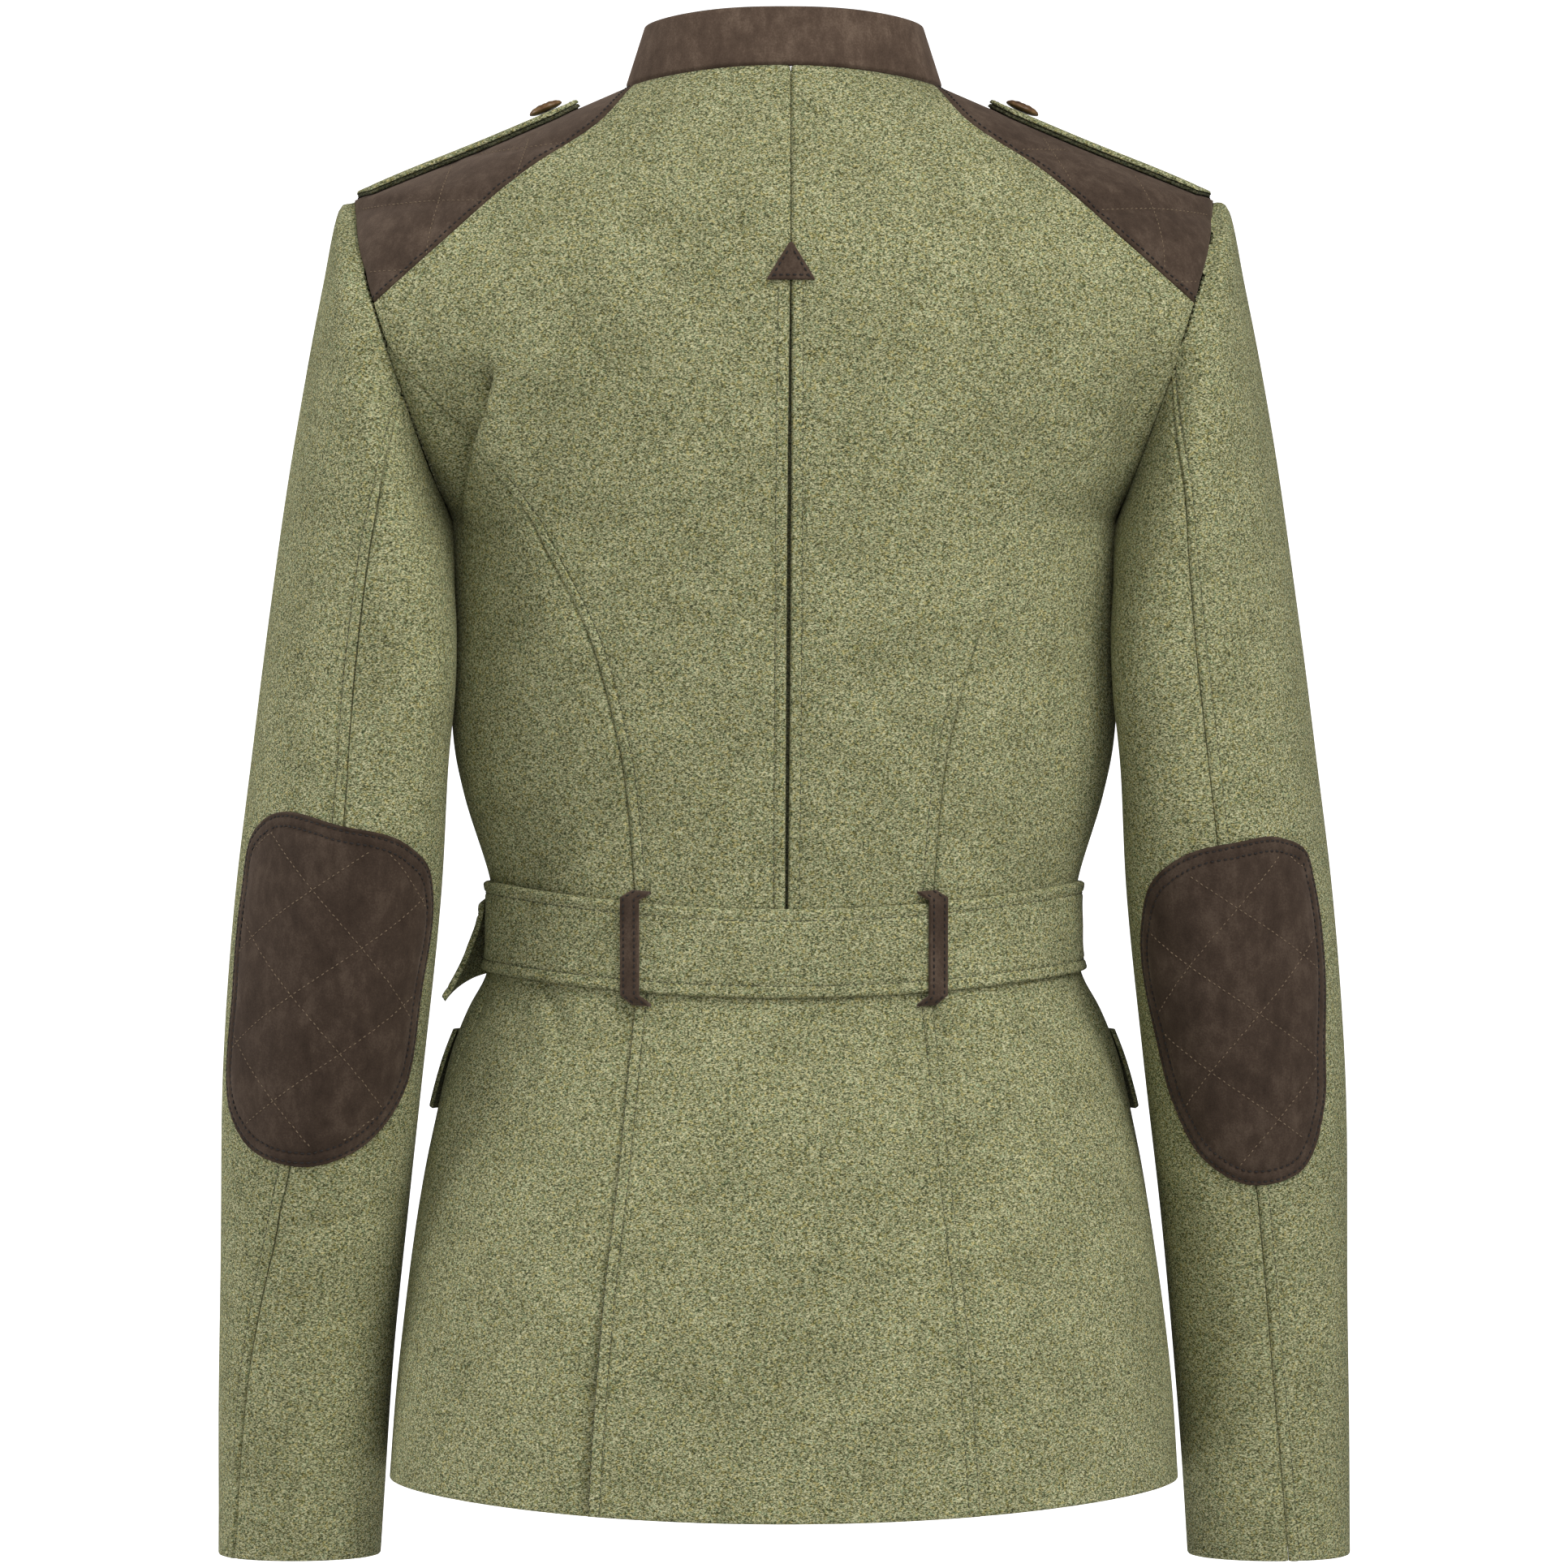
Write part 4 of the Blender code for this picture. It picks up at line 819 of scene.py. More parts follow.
def epaulette_place(side):
    """Epaulette along the ridge, narrowing to its rounded end at the neck."""
    def place(u, v):
        """Points and outward directions of the epaulette."""
        start, end = EPAULETTE_SPAN
        level = start + (end - start) * v
        narrow = np.clip((v - EPAULETTE_NARROW) / (1 - EPAULETTE_NARROW), 0, 1) ** 2
        half = EPAULETTE_HALF + (EPAULETTE_TIP - EPAULETTE_HALF) * narrow
        points = np.zeros((len(u), 3))
        outward = np.zeros((len(u), 3))
        for face, mask in (("b", u <= 0.5), ("f", u > 0.5)):
            off = np.abs(2 * u[mask] - 1) * half[mask]
            sigma = ridge_sigma(face, level[mask], off)
            points[mask], outward[mask] = body_at(face, side * sigma, level[mask])
        return points, outward
    return place


def flap_place(side):
    """Pocket flap on the front of the hip, standing off at its lower edge."""
    def place(u, v):
        """Points and outward directions of the flap."""
        low, high = FLAP_LEVELS
        sigma = FLAP_SPAN[0] + (FLAP_SPAN[1] - FLAP_SPAN[0]) * u
        level = low + (high - low) * v
        points, outward = body_at("f", side * sigma, level)
        lift = REST + FLAP_STAND * (1 - v) ** FLAP_CURL
        return points + outward * lift.reshape(-1, 1), outward
    return place


def tab_place(u, v):
    """Suede triangle at the head of the pleat, its point up."""
    level = level_at(TAB_TOP_Z) + (level_at(TAB_BASE_Z) - level_at(TAB_TOP_Z)) * v
    wide = TAB_POINT + (TAB_WIDE - TAB_POINT) * v
    x = PLEAT_TOP_X + (u - 0.5) * wide
    return body_at("b", sigma_at("b", x, level), level)


def lifted(place, rise):
    """The same place moved out from the body."""
    def moved(u, v):
        """Points a little further out."""
        points, outward = place(u, v)
        return points + outward * rise, outward
    return moved


def crease_depth(face, x, z):
    """Depth of the creases of the back or the front at a place."""
    rows = (dict(zip(CREASE_COLUMNS, row)) for row in CREASES if row[0] == face)
    return sum((soft_spot(row, x, z, "depth") for row in rows), np.zeros_like(x))


def hollow_depth(x, z):
    """Depth of the hollow behind the fold beside the left armhole."""
    edge_x, edge_z = np.array(HOLLOW_EDGE).T
    across = x - smooth_between(edge_z, edge_x, np.clip(z, edge_z[0], edge_z[-1]))
    drop = (1 + np.tanh(across / HOLLOW_LIP)) / 2 * np.exp(-np.maximum(across, 0) / HOLLOW_REACH)
    ends = np.interp(z, HOLLOW_ENDS, (0, 1, 1, 0))
    return HOLLOW_DEPTH * drop * ends * ends * (3 - 2 * ends)


def valley_fill(points):
    """How far the valley along the back of an armhole is filled."""
    ring = armhole(np.linspace(*VALLEY_SPAN, VALLEY_STEPS) * math.pi)
    way = np.hypot(np.abs(points[:, :1]) - ring[:, 0], points[:, 2:] - ring[:, 2])
    swell = np.sin(np.linspace(0, math.pi, VALLEY_STEPS))[way.argmin(axis=1)]
    back = np.clip(points[:, 1] / VALLEY_FRONT, 0, 1)
    return VALLEY_FILL * swell * back * np.exp(-(way.min(axis=1) / VALLEY_REACH) ** 2)


def creased(place):
    """The same place with the creases pressed into the whole cloth."""
    def moved(u, v):
        """Points after creasing."""
        points, outward = place(u, v)
        x, z = points[:, 0], points[:, 2]
        hollow = hollow_depth(x, z)
        depth = np.clip(outward[:, 1], 0, 1) * (crease_depth(1, x, z) + hollow)
        depth = depth + np.clip(-outward[:, 1], 0, 1) * crease_depth(-1, x, z)
        points = points - outward * depth.reshape(-1, 1)
        points[:, 1] += valley_fill(points) * (1 - hollow / HOLLOW_DEPTH)
        return points, outward
    return moved


class Panel:
    """Outer face of a cut piece as a grid of points, with the way in from each of its edges."""

    def __init__(self, place, across, along):
        """Lay the grid on its place and measure the way in from its edges."""
        u, v = np.meshgrid(across, along)
        self.u = u
        self.v = v
        points, outward = place(u.ravel(), v.ravel())
        self.base = points.reshape(u.shape + (3,))
        self.outward = outward.reshape(u.shape + (3,))
        self.left = run_length(self.base, 1)
        self.right = self.left[:, -1:] - self.left
        self.low = run_length(self.base, 0)
        self.high = self.low[-1:] - self.low
        self.push = np.zeros(u.shape)

    def face(self):
        """Points of the outer face with the relief on it."""
        return self.base + self.outward * self.push[..., None]

    def nearest(self, *edges):
        """Way in from the nearest of the named edges."""
        return np.minimum.reduce([getattr(self, edge) for edge in edges])


def run_length(points, axis):
    """Length run along one way of a grid of points."""
    steps = np.linalg.norm(np.diff(points, axis=axis), axis=-1)
    start = np.zeros_like(np.take(steps, [0], axis=axis))
    return np.concatenate([start, np.cumsum(steps, axis=axis)], axis=axis)


def stations(length, low, high, pitch):
    """Places from 0 to 1 over a length, close together along the worked edges."""
    steps = np.array([step for step in EDGE_STEPS if step < EDGE_SHARE * length])
    start = steps if low else steps[:1]
    end = length - (steps if high else steps[:1])[::-1]
    count = max(2, int(round((end[0] - start[-1]) / pitch)) + 1)
    inside = np.linspace(start[-1], end[0], count)
    return np.concatenate([start[:-1], inside, end[1:]]) / length


def fine_panel(place, knots=2, across=(True, True), along=(False, False), pitch=COLUMN_PITCH):
    """Panel with enough columns and rows for its edges, its rows holding the given knots."""
    coarse = Panel(place, np.linspace(0, 1, 2 * TOP), np.linspace(0, 1, knots))
    wide = float(coarse.left[:, -1].mean())
    rows = []
    for k, length in enumerate(np.diff(coarse.low, axis=0).mean(axis=1)):
        worked = (along[0] and k == 0, along[1] and k == knots - 2)
        part = stations(float(length), *worked, ROW_PITCH)
        rows.append((k + part[:-1]) / (knots - 1))
    rows.append([1.0])
    return Panel(place, stations(wide, *across, pitch), np.concatenate(rows))


def sewn(way):
    """Edge drawn down into a seam."""
    return -SEAM_DEPTH * np.exp(-(way / SEAM_ROLL) ** 2)


def folded(way, radius=FOLD_RADIUS):
    """Edge rolled over a fold."""
    inside = np.clip(radius - way, 0, radius)
    return np.sqrt(radius ** 2 - inside ** 2) - radius


def groove(way, at):
    """Narrow trough that a row of stitches pulls into the cloth."""
    return -GROOVE_DEPTH * np.exp(-((way - at) / GROOVE_WIDE) ** 2)


def welt(way, at):
    """Seam allowance raised between a seam and its topstitching."""
    return groove(way, at) + WELT_RISE * np.clip((at - way) / GROOVE_WIDE, 0, 1)


def drape(points, depth=DRAPE_DEPTH):
    """Slow unevenness of hanging cloth."""
    x, z = points[..., 0], points[..., 2]
    waves = [np.sin(a * x + b * z + c) for a, b, c in DRAPE_WAVES]
    return depth * sum(waves) / len(waves)


def deselect():
    """Leave nothing selected and nothing in edit mode."""
    if bpy.context.object and bpy.context.object.mode != "OBJECT":
        bpy.ops.object.mode_set(mode="OBJECT")
    bpy.ops.object.select_all(action="DESELECT")


def read_points(mesh):
    """Vertex places of a mesh."""
    flat = np.zeros(len(mesh.vertices) * 3)
    mesh.vertices.foreach_get("co", flat)
    return flat.reshape(-1, 3)


def write_points(mesh, points):
    """Set the vertex places of a mesh."""
    mesh.vertices.foreach_set("co", np.ascontiguousarray(points).ravel())
    mesh.update()


def face_outwards(piece, outward):
    """Turn the faces of an open sheet to the outward side."""
    mesh = piece.data
    normals = np.array([vert.normal for vert in mesh.vertices])
    if np.sum(normals * outward) < 0:
        bpy.ops.object.mode_set(mode="EDIT")
        bpy.ops.mesh.select_all(action="SELECT")
        bpy.ops.mesh.flip_normals()
        bpy.ops.object.mode_set(mode="OBJECT")


def thicken(piece, wall):
    """Give a sheet its wall, inwards from its outer face."""
    solid = piece.modifiers.new("wall", "SOLIDIFY")
    solid.thickness = wall * MM
    solid.offset = -1
    solid.use_rim = True
    bpy.ops.object.modifier_apply(modifier=solid.name)


def cloth_shell(name, panel, wall, finish):
    """Thin closed shell on a panel, with the relief on its outer face only."""
    deselect()
    rows, columns = panel.push.shape
    bpy.ops.mesh.primitive_grid_add(x_subdivisions=columns - 1, y_subdivisions=rows - 1, size=2)
    piece = bpy.context.active_object
    piece.name = name
    spots = read_points(piece.data)
    across = np.rint((spots[:, 0] + 1) / 2 * (columns - 1)).astype(int)
    along = np.rint((spots[:, 1] + 1) / 2 * (rows - 1)).astype(int)
    base = panel.base[along, across] * MM
    outward = panel.outward[along, across]
    write_points(piece.data, base)
    face_outwards(piece, outward)
    thicken(piece, wall)
    points = read_points(piece.data)
    count = len(base)
    first = np.abs(points[:count] - base).max() < np.abs(points[count:] - base).max()
    outer = slice(0, count) if first else slice(count, 2 * count)
    points[outer] = panel.face()[along, across] * MM
    write_points(piece.data, points)
    bpy.ops.object.shade_smooth()
    piece.data.materials.clear()
    piece.data.materials.append(finish)
    return piece


def on_body(piece, slot, *nodes):
    """Let a piece ride on the jacket and hide the nodes it stands for; its slot is not used."""
    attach(piece, BODY)
    if nodes:
        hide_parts(*nodes)


def make_shell(node, panel, wall, slot, finish):
    """Cloth shell that stands for a node."""
    piece = cloth_shell(node + "_cloth", panel, wall, finish)
    on_body(piece, slot, node)
    return piece


def inset_line(panel, edge, way):
    """Line of a panel at a set way in from one edge: points and outward directions."""
    turned = edge in ("low", "high")
    backward = edge in ("right", "high")
    grids = [panel.face(), panel.outward, getattr(panel, edge)]
    grids = [np.swapaxes(grid, 0, 1) if turned else grid for grid in grids]
    points, outward, inset = [grid[:, ::-1] if backward else grid for grid in grids]
    line = []
    for row in range(len(inset)):
        if inset[row, -1] > 2 * way:
            at = [np.interp(way, inset[row], values) for values in (*points[row].T, *outward[row].T)]
            line.append(at)
    line = np.array(line)
    return line[:, :3], line[:, 3:]


def keep_heights(line, low, high):
    """The stretch of a line between two heights."""
    points, outward = line
    inside = (points[:, 2] >= low) & (points[:, 2] <= high)
    return points[inside], outward[inside]


def stitch_frames(line, pitch, long):
    """Places along a line for the rings of each stitch, with forward and outward directions."""
    points, outward = line
    run = run_length(points, 0)
    starts = np.arange(pitch / 2, run[-1] - long, pitch)
    at = starts[:, None] + long * np.array([ring[0] for ring in STITCH_RINGS])[None]
    spots = np.stack([np.interp(at, run, axis) for axis in points.T], axis=-1)
    rise = unit(np.stack([np.interp(at, run, axis) for axis in outward.T], axis=-1))
    forward = unit(spots[:, -1:] - spots[:, :1]) + np.zeros_like(spots)
    return spots, rise, forward


def stitch_mesh(lines, kind):
    """Corner places and faces of all the stitches along some lines."""
    pitch, long, thick = STITCH[kind]
    frames = [stitch_frames(line, pitch, long) for line in lines if len(line[0]) > 2]
    spots, rise, forward = (np.concatenate([item[k] for item in frames]) for k in range(3))
    sideways = unit(np.cross(forward, rise))
    height = np.array([ring[1] for ring in STITCH_RINGS])[None, :, None] * thick
    radius = np.array([ring[2] for ring in STITCH_RINGS])[None, :, None] * thick / 2
    turns = np.arange(STITCH_SIDES) / STITCH_SIDES * 2 * math.pi
    corners = [spots + rise * (height + radius * math.sin(turn)) + sideways * radius * math.cos(turn)
               for turn in turns]
    corners = np.stack(corners, axis=2).reshape(-1, 3)
    rings = len(STITCH_RINGS)
    one = [[r * STITCH_SIDES + s, r * STITCH_SIDES + (s + 1) % STITCH_SIDES,
            (r + 1) * STITCH_SIDES + (s + 1) % STITCH_SIDES, (r + 1) * STITCH_SIDES + s]
           for r in range(rings - 1) for s in range(STITCH_SIDES)]
    last = (rings - 1) * STITCH_SIDES
    ends = [list(range(STITCH_SIDES))[::-1], list(range(last, last + STITCH_SIDES))]
    faces = []
    for number in range(len(spots)):
        start = number * rings * STITCH_SIDES
        faces.extend([start + corner for corner in face] for face in one + ends)
    return corners, faces


def sew(name, lines, kind, slot, finish):
    """Rows of stitches as one joined mesh."""
    corners, faces = stitch_mesh(lines, kind)
    mesh = bpy.data.meshes.new(name)
    mesh.from_pydata((corners * MM).tolist(), [], faces)
    mesh.update()
    piece = bpy.data.objects.new(name, mesh)
    bpy.context.collection.objects.link(piece)
    deselect()
    bpy.context.view_layer.objects.active = piece
    piece.select_set(True)
    bpy.ops.object.mode_set(mode="EDIT")
    bpy.ops.mesh.select_all(action="SELECT")
    bpy.ops.mesh.normals_make_consistent(inside=False)
    bpy.ops.object.mode_set(mode="OBJECT")
    bpy.ops.object.shade_smooth()
    mesh.materials.append(finish)
    on_body(piece, slot)
    return piece


def laid_line(piece, corners, side, way=1):
    """Smooth line laid on the back (way 1) or front of a piece: points and outward directions."""
    x, z = np.array(corners, float).T
    run = np.concatenate([[0], np.cumsum(np.hypot(np.diff(x), np.diff(z)))])
    at = np.arange(0, run[-1], LINE_PITCH)
    across = smooth_between(run, x * side, at)
    height = smooth_between(run, z, at)
    found = []
    for spot_x, spot_z in zip(across, height):
        start = Vector((spot_x * MM, way * FAR_OFF, spot_z * MM))
        hit, place, normal, _ = piece.ray_cast(start, Vector((0, -way, 0)))
        if hit and way * place.y > 0:
            found.append((*(place / MM), *normal))
    found = np.array(found).reshape(-1, 6)
    return found[:, :3], found[:, 3:]


def settle(piece, points):
    """Points moved to the nearest place on a piece, with the outward directions there."""
    found = []
    for point in points:
        _, place, normal, _ = piece.closest_point_on_mesh(Vector(point * MM))
        found.append((*(place / MM), *normal))
    found = np.array(found).reshape(-1, 6)
    return found[:, :3], found[:, 3:]


def nearest_way(points, spots):
    """Distance from each point to the nearest of some spots."""
    best = np.full(points.shape[:-1], np.inf)
    for spot in spots:
        best = np.minimum(best, np.linalg.norm(points - spot, axis=-1))
    return best


# Finishes

def new_finish(name):
    """Empty material with its tree, shader and object coordinates."""
    material = bpy.data.materials.new(name)
    material.use_nodes = True
    tree = material.node_tree
    shader = tree.nodes["Principled BSDF"]
    place = tree.nodes.new("ShaderNodeTexCoord")
    return material, tree, shader, place.outputs["Object"]


def noise(tree, place, scale, detail=2.0, rough=0.5, stretch=None, lean=None):
    """Noise on object coordinates, stretched along one direction where asked."""
    if stretch is not None:
        mapping = tree.nodes.new("ShaderNodeMapping")
        mapping.inputs["Scale"].default_value = stretch
        mapping.inputs["Rotation"].default_value = lean
        tree.links.new(place, mapping.inputs["Vector"])
        place = mapping.outputs["Vector"]
    node = tree.nodes.new("ShaderNodeTexNoise")
    node.inputs["Scale"].default_value = scale
    node.inputs["Detail"].default_value = detail
    node.inputs["Roughness"].default_value = rough
    tree.links.new(place, node.inputs["Vector"])
    return node.outputs["Fac"]


def ramp(tree, factor, stops):
    """Colour ramp through (place, colour) stops."""
    node = tree.nodes.new("ShaderNodeValToRGB")
    elements = node.color_ramp.elements
    while len(elements) < len(stops):
        elements.new(0.5)
    for element, (place, colour) in zip(elements, stops):
        element.position = place
        element.color = (*colour, 1.0)
    tree.links.new(factor, node.inputs["Fac"])
    return node.outputs["Color"]


def mix(tree, kind, factor, one, two):
    """Mix of two colours; the factor is a socket or a number."""
    node = tree.nodes.new("ShaderNodeMix")
    node.data_type = "RGBA"
    node.blend_type = kind
    for value, socket in ((factor, node.inputs[0]), (one, node.inputs[6]), (two, node.inputs[7])):
        if isinstance(value, bpy.types.NodeSocket):
            tree.links.new(value, socket)
        else:
            socket.default_value = value
    return node.outputs[2]


def math_node(tree, kind, one, two):
    """Arithmetic on two sockets or numbers."""
    node = tree.nodes.new("ShaderNodeMath")
    node.operation = kind
    for value, socket in ((one, node.inputs[0]), (two, node.inputs[1])):
        if isinstance(value, bpy.types.NodeSocket):
            tree.links.new(value, socket)
        else:
            socket.default_value = value
    return node.outputs[0]


def bump(tree, shader, height, strength, distance):
    """Bump of a shader from a height."""
    node = tree.nodes.new("ShaderNodeBump")
    node.inputs["Strength"].default_value = strength
    node.inputs["Distance"].default_value = distance
    tree.links.new(height, node.inputs["Height"])
    tree.links.new(node.outputs["Normal"], shader.inputs["Normal"])


def surface(shader, values):
    """Plain values of a shader, by the names of its sockets."""
    for name, value in values.items():
        shader.inputs[name].default_value = value


def add_up(tree, parts):
    """Sum of several sockets."""
    total = parts[0]
    for part in parts[1:]:
        total = math_node(tree, "ADD", total, part)
    return total


# Noise rows: scale, detail, roughness, stretch, lean
LODEN_FIBRES = (
    (1850, 1.0, 0.6, (1.0, 0.6, 2.0), (0, 0.7, 0.4)),
    (1950, 1.0, 0.6, (1.0, 0.6, 2.0), (0, -0.9, -0.3)),
    (1650, 0.0, 0.5, (0.7, 0.7, 1.6), (0, 0.1, 0)),
    (780, 1.0, 0.5, (1.0, 0.7, 1.5), (0, 0.5, 0.3)),
)
OCHRE_NOISE = (760, 0.0)
GREY_NOISE = (900, 0.0, 0.5, (1.3, 0.8, 1.0), (0.5, 0.2, 0.9))
CLOUD_NOISE = (34, 4.0, 0.62)
NAP_NOISE = (48, 5.0, 0.66)
BRUSH_NOISE = (210, 3.0, 0.6, (1.0, 1.0, 0.45), (0, 0.5, 0.2))
GRAIN_NOISE = (1300, 2.0, 0.6)
TWIST_NOISE = (1500, 2.0)
LEATHER_TONE = (180, 4.0, 0.6)
LEATHER_GRAIN = (1600, 3.0, 0.6)

# Colours and shares
FLECK_GAIN = 0.64
FLECK_SHIFT = -0.78
LODEN_STOPS = ((0.28, (0.050, 0.054, 0.027)), (0.41, (0.160, 0.164, 0.075)), (0.50, (0.285, 0.288, 0.149)),
               (0.59, (0.410, 0.406, 0.224)), (0.73, (0.640, 0.615, 0.385)))
OCHRE_STOPS = ((0.56, (0, 0, 0)), (0.70, (1, 1, 1)))
OCHRE_SHARE = 0.55
LODEN_OCHRE = (0.96, 0.80, 0.38, 1.0)
GREY_STOPS = ((0.56, (0, 0, 0)), (0.68, (1, 1, 1)))
GREY_SHARE = 0.7
LODEN_GREY = (0.62, 0.80, 0.78, 1.0)
LODEN_CLOUD = ((0.25, (0.80, 0.80, 0.78)), (0.75, (1.12, 1.12, 1.14)))
SUEDE_STOPS = ((0.28, (0.027, 0.017, 0.012)), (0.5, (0.067, 0.045, 0.032)), (0.74, (0.150, 0.108, 0.078)))
SUEDE_PARTS = ((NAP_NOISE, 0.44), (BRUSH_NOISE, 0.32))
GRAIN_SHARE = 0.24
THREAD_ENDS = (0.3, 0.7)
LEATHER_STOPS = ((0.3, (0.060, 0.030, 0.014)), (0.52, (0.150, 0.080, 0.034)), (0.75, (0.300, 0.185, 0.080)))

# Bumps as strength and depth in metres, and plain values of the shaders
LODEN_BUMP = (0.45, 0.0005)
SUEDE_BUMP = (0.3, 0.0004)
THREAD_BUMP = (0.3, 0.0002)
LEATHER_BUMP = (0.25, 0.0003)
LODEN_SURFACE = {"Roughness": 0.95, "Specular IOR Level": 0.15, "Sheen Weight": 0.04,
                 "Sheen Roughness": 0.6, "Sheen Tint": (0.85, 0.88, 0.68, 1.0)}
SUEDE_SURFACE = {"Roughness": 0.9, "Specular IOR Level": 0.12, "Sheen Weight": 0.22,
                 "Sheen Roughness": 0.45, "Sheen Tint": (0.80, 0.62, 0.50, 1.0)}
THREAD_SURFACE = {"Roughness": 0.7}
LEATHER_SURFACE = {"Roughness": 0.42}


def loden(name="loden_cloth", shade=1.0):
    """Melange loden: crossed fibre flecks of sage, olive, ochre and blue-grey under a soft nap."""
    material, tree, shader, place = new_finish(name)
    fibres = [noise(tree, place, *row) for row in LODEN_FIBRES]
    fleck = math_node(tree, "MULTIPLY_ADD", add_up(tree, fibres), FLECK_GAIN)
    fleck.node.inputs[2].default_value = FLECK_SHIFT
    colour = ramp(tree, fleck, LODEN_STOPS)
    ochre = ramp(tree, noise(tree, place, *OCHRE_NOISE), OCHRE_STOPS)
    grey = ramp(tree, noise(tree, place, *GREY_NOISE), GREY_STOPS)
    colour = mix(tree, "MULTIPLY", math_node(tree, "MULTIPLY", ochre, OCHRE_SHARE), colour, LODEN_OCHRE)
    colour = mix(tree, "MULTIPLY", math_node(tree, "MULTIPLY", grey, GREY_SHARE), colour, LODEN_GREY)
    cloud = ramp(tree, noise(tree, place, *CLOUD_NOISE), LODEN_CLOUD)
    colour = mix(tree, "MULTIPLY", 1.0, colour, cloud)
    # The shade factor darkens the whole colour: painted shade for cloth lying in shadow
    if shade < 1:
        colour = mix(tree, "MULTIPLY", 1.0, colour, (shade, shade, shade, 1.0))
    tree.links.new(colour, shader.inputs["Base Color"])
    bump(tree, shader, fibres[0], *LODEN_BUMP)
    surface(shader, LODEN_SURFACE)
    return material


def suede(name="brown_suede", light=1.0):
    """Brushed suede: dark brown with cloudy nap and fine grain."""
    material, tree, shader, place = new_finish(name)
    grain = noise(tree, place, *GRAIN_NOISE)
    parts = [math_node(tree, "MULTIPLY", noise(tree, place, *row), share) for row, share in SUEDE_PARTS]
    height = add_up(tree, parts + [math_node(tree, "MULTIPLY", grain, GRAIN_SHARE)])
    # The light factor scales the whole colour: above 1 it is painted light, below 1 painted shade
    colour = mix(tree, "MULTIPLY", 1.0, ramp(tree, height, SUEDE_STOPS), (light, light, light, 1.0))
    tree.links.new(colour, shader.inputs["Base Color"])
    bump(tree, shader, grain, *SUEDE_BUMP)
    surface(shader, SUEDE_SURFACE)
    return material


def thread(name, dark, light):
    """Twisted sewing thread."""
    material, tree, shader, place = new_finish(name)
    twist = noise(tree, place, *TWIST_NOISE)
    tree.links.new(ramp(tree, twist, tuple(zip(THREAD_ENDS, (dark, light)))), shader.inputs["Base Color"])
    bump(tree, shader, twist, *THREAD_BUMP)
    surface(shader, THREAD_SURFACE)
    return material


def button_leather():
    """Polished leather of the braided buttons."""
    material, tree, shader, place = new_finish("button_leather")
    tone = noise(tree, place, *LEATHER_TONE)
    tree.links.new(ramp(tree, tone, LEATHER_STOPS), shader.inputs["Base Color"])
    bump(tree, shader, noise(tree, place, *LEATHER_GRAIN), *LEATHER_BUMP)
    surface(shader, LEATHER_SURFACE)
    return material


LODEN = loden()
# Loden darkened to 20 %: painted deep shade for the pleat's underlay and the epaulettes' lower layer
LODEN_PAINTED_DEEP_SHADE = loden("loden_in_fold", 0.2)
# Loden darkened to 60 %: painted shade for the pocket flaps and the cords under the armhole seams
LODEN_PAINTED_SHADE = loden("loden_in_shade", 0.6)
SUEDE_FINISH = suede()
# Suede lightened 1.4 times: painted light from above on the up-facing collar
COLLAR_PAINTED_LIGHT = suede("collar_suede", 1.4)
# Suede darkened to 82 %: painted shade on the upright patches, which get less light from above than the yokes
PATCH_PAINTED_SHADE = suede("patch_suede", 0.82)
LODEN_THREAD = thread("olive_thread", (0.035, 0.036, 0.018), (0.095, 0.096, 0.052))
EDGE_THREAD = thread("brown_thread", (0.007, 0.005, 0.004), (0.018, 0.012, 0.009))
QUILT_THREAD = thread("tan_thread", (0.120, 0.080, 0.048), (0.240, 0.172, 0.104))
BUTTON_FINISH = button_leather()


# Pieces

def make_backs():
    """Back panels, side panels and the underlay of the pleat; returns the topstitching."""
    start = (LEVEL["waist"] + WAIST_GAP,) + BODY_ROWS + (PRINCESS_TOP,)
    knots = start + (YOKE_CORNER,) + YOKE_ROWS
    lines = []
    for side, word in SIDES:
        place = between("b", pleat_edge(side), lambda lv, s=side: s * back_edge(lv), spread(knots))
        panel = fine_panel(creased(place), len(knots), pitch=BACK_PITCH)
        heights = panel.base[..., 2]
        below_tab = heights < TAB_BASE_Z
        seamed = heights < PRINCESS_HEIGHT[word]
        opened = folded(panel.left) + welt(panel.left, TOPSTITCH)
        panel.push += np.where(below_tab, opened, sewn(panel.left))
        panel.push += sewn(panel.right) * princess_strength(word, heights)
        panel.push += np.where(seamed, welt(panel.right, TOPSTITCH), 0) + drape(panel.base)
        make_shell("back_" + word, panel, CLOTH, "loden", LODEN)
        lines.append(keep_heights(inset_line(panel, "left", TOPSTITCH), WAIST_HEIGHT, TAB_BASE_Z))
        lines.append(keep_heights(inset_line(panel, "right", TOPSTITCH), WAIST_HEIGHT, PRINCESS_HEIGHT[word]))
        make_back_side(side, word, start)
    make_pleat()
    return lines


def princess_strength(word, heights):
    """How deep the back princess seam is drawn: faint on the upper right."""
    if word == "left":
        return np.ones_like(heights)
    return np.where(heights > YOKE_CORNER_HEIGHT, 1, np.interp(heights, FAINT_SEAM, (1, FAINT_DEPTH)))


def make_back_side(side, word, knots):
    """Side panel between the princess seam and the side seam."""
    inner = (lambda lv: side * (princess(lv) + gap_sigma("b", lv)))
    outer = (lambda lv: side * (1 - gap_sigma("b", lv)))
    panel = fine_panel(creased(between("b", inner, outer, spread(knots))), len(knots), pitch=BACK_PITCH)
    heights = panel.base[..., 2]
    panel.push += sewn(panel.left) * princess_strength(word, heights)
    panel.push += np.where(heights < ARMPIT_HEIGHT, sewn(panel.right), 0) + drape(panel.base)
    make_shell("back_side_" + word, panel, CLOTH, "loden", LODEN)


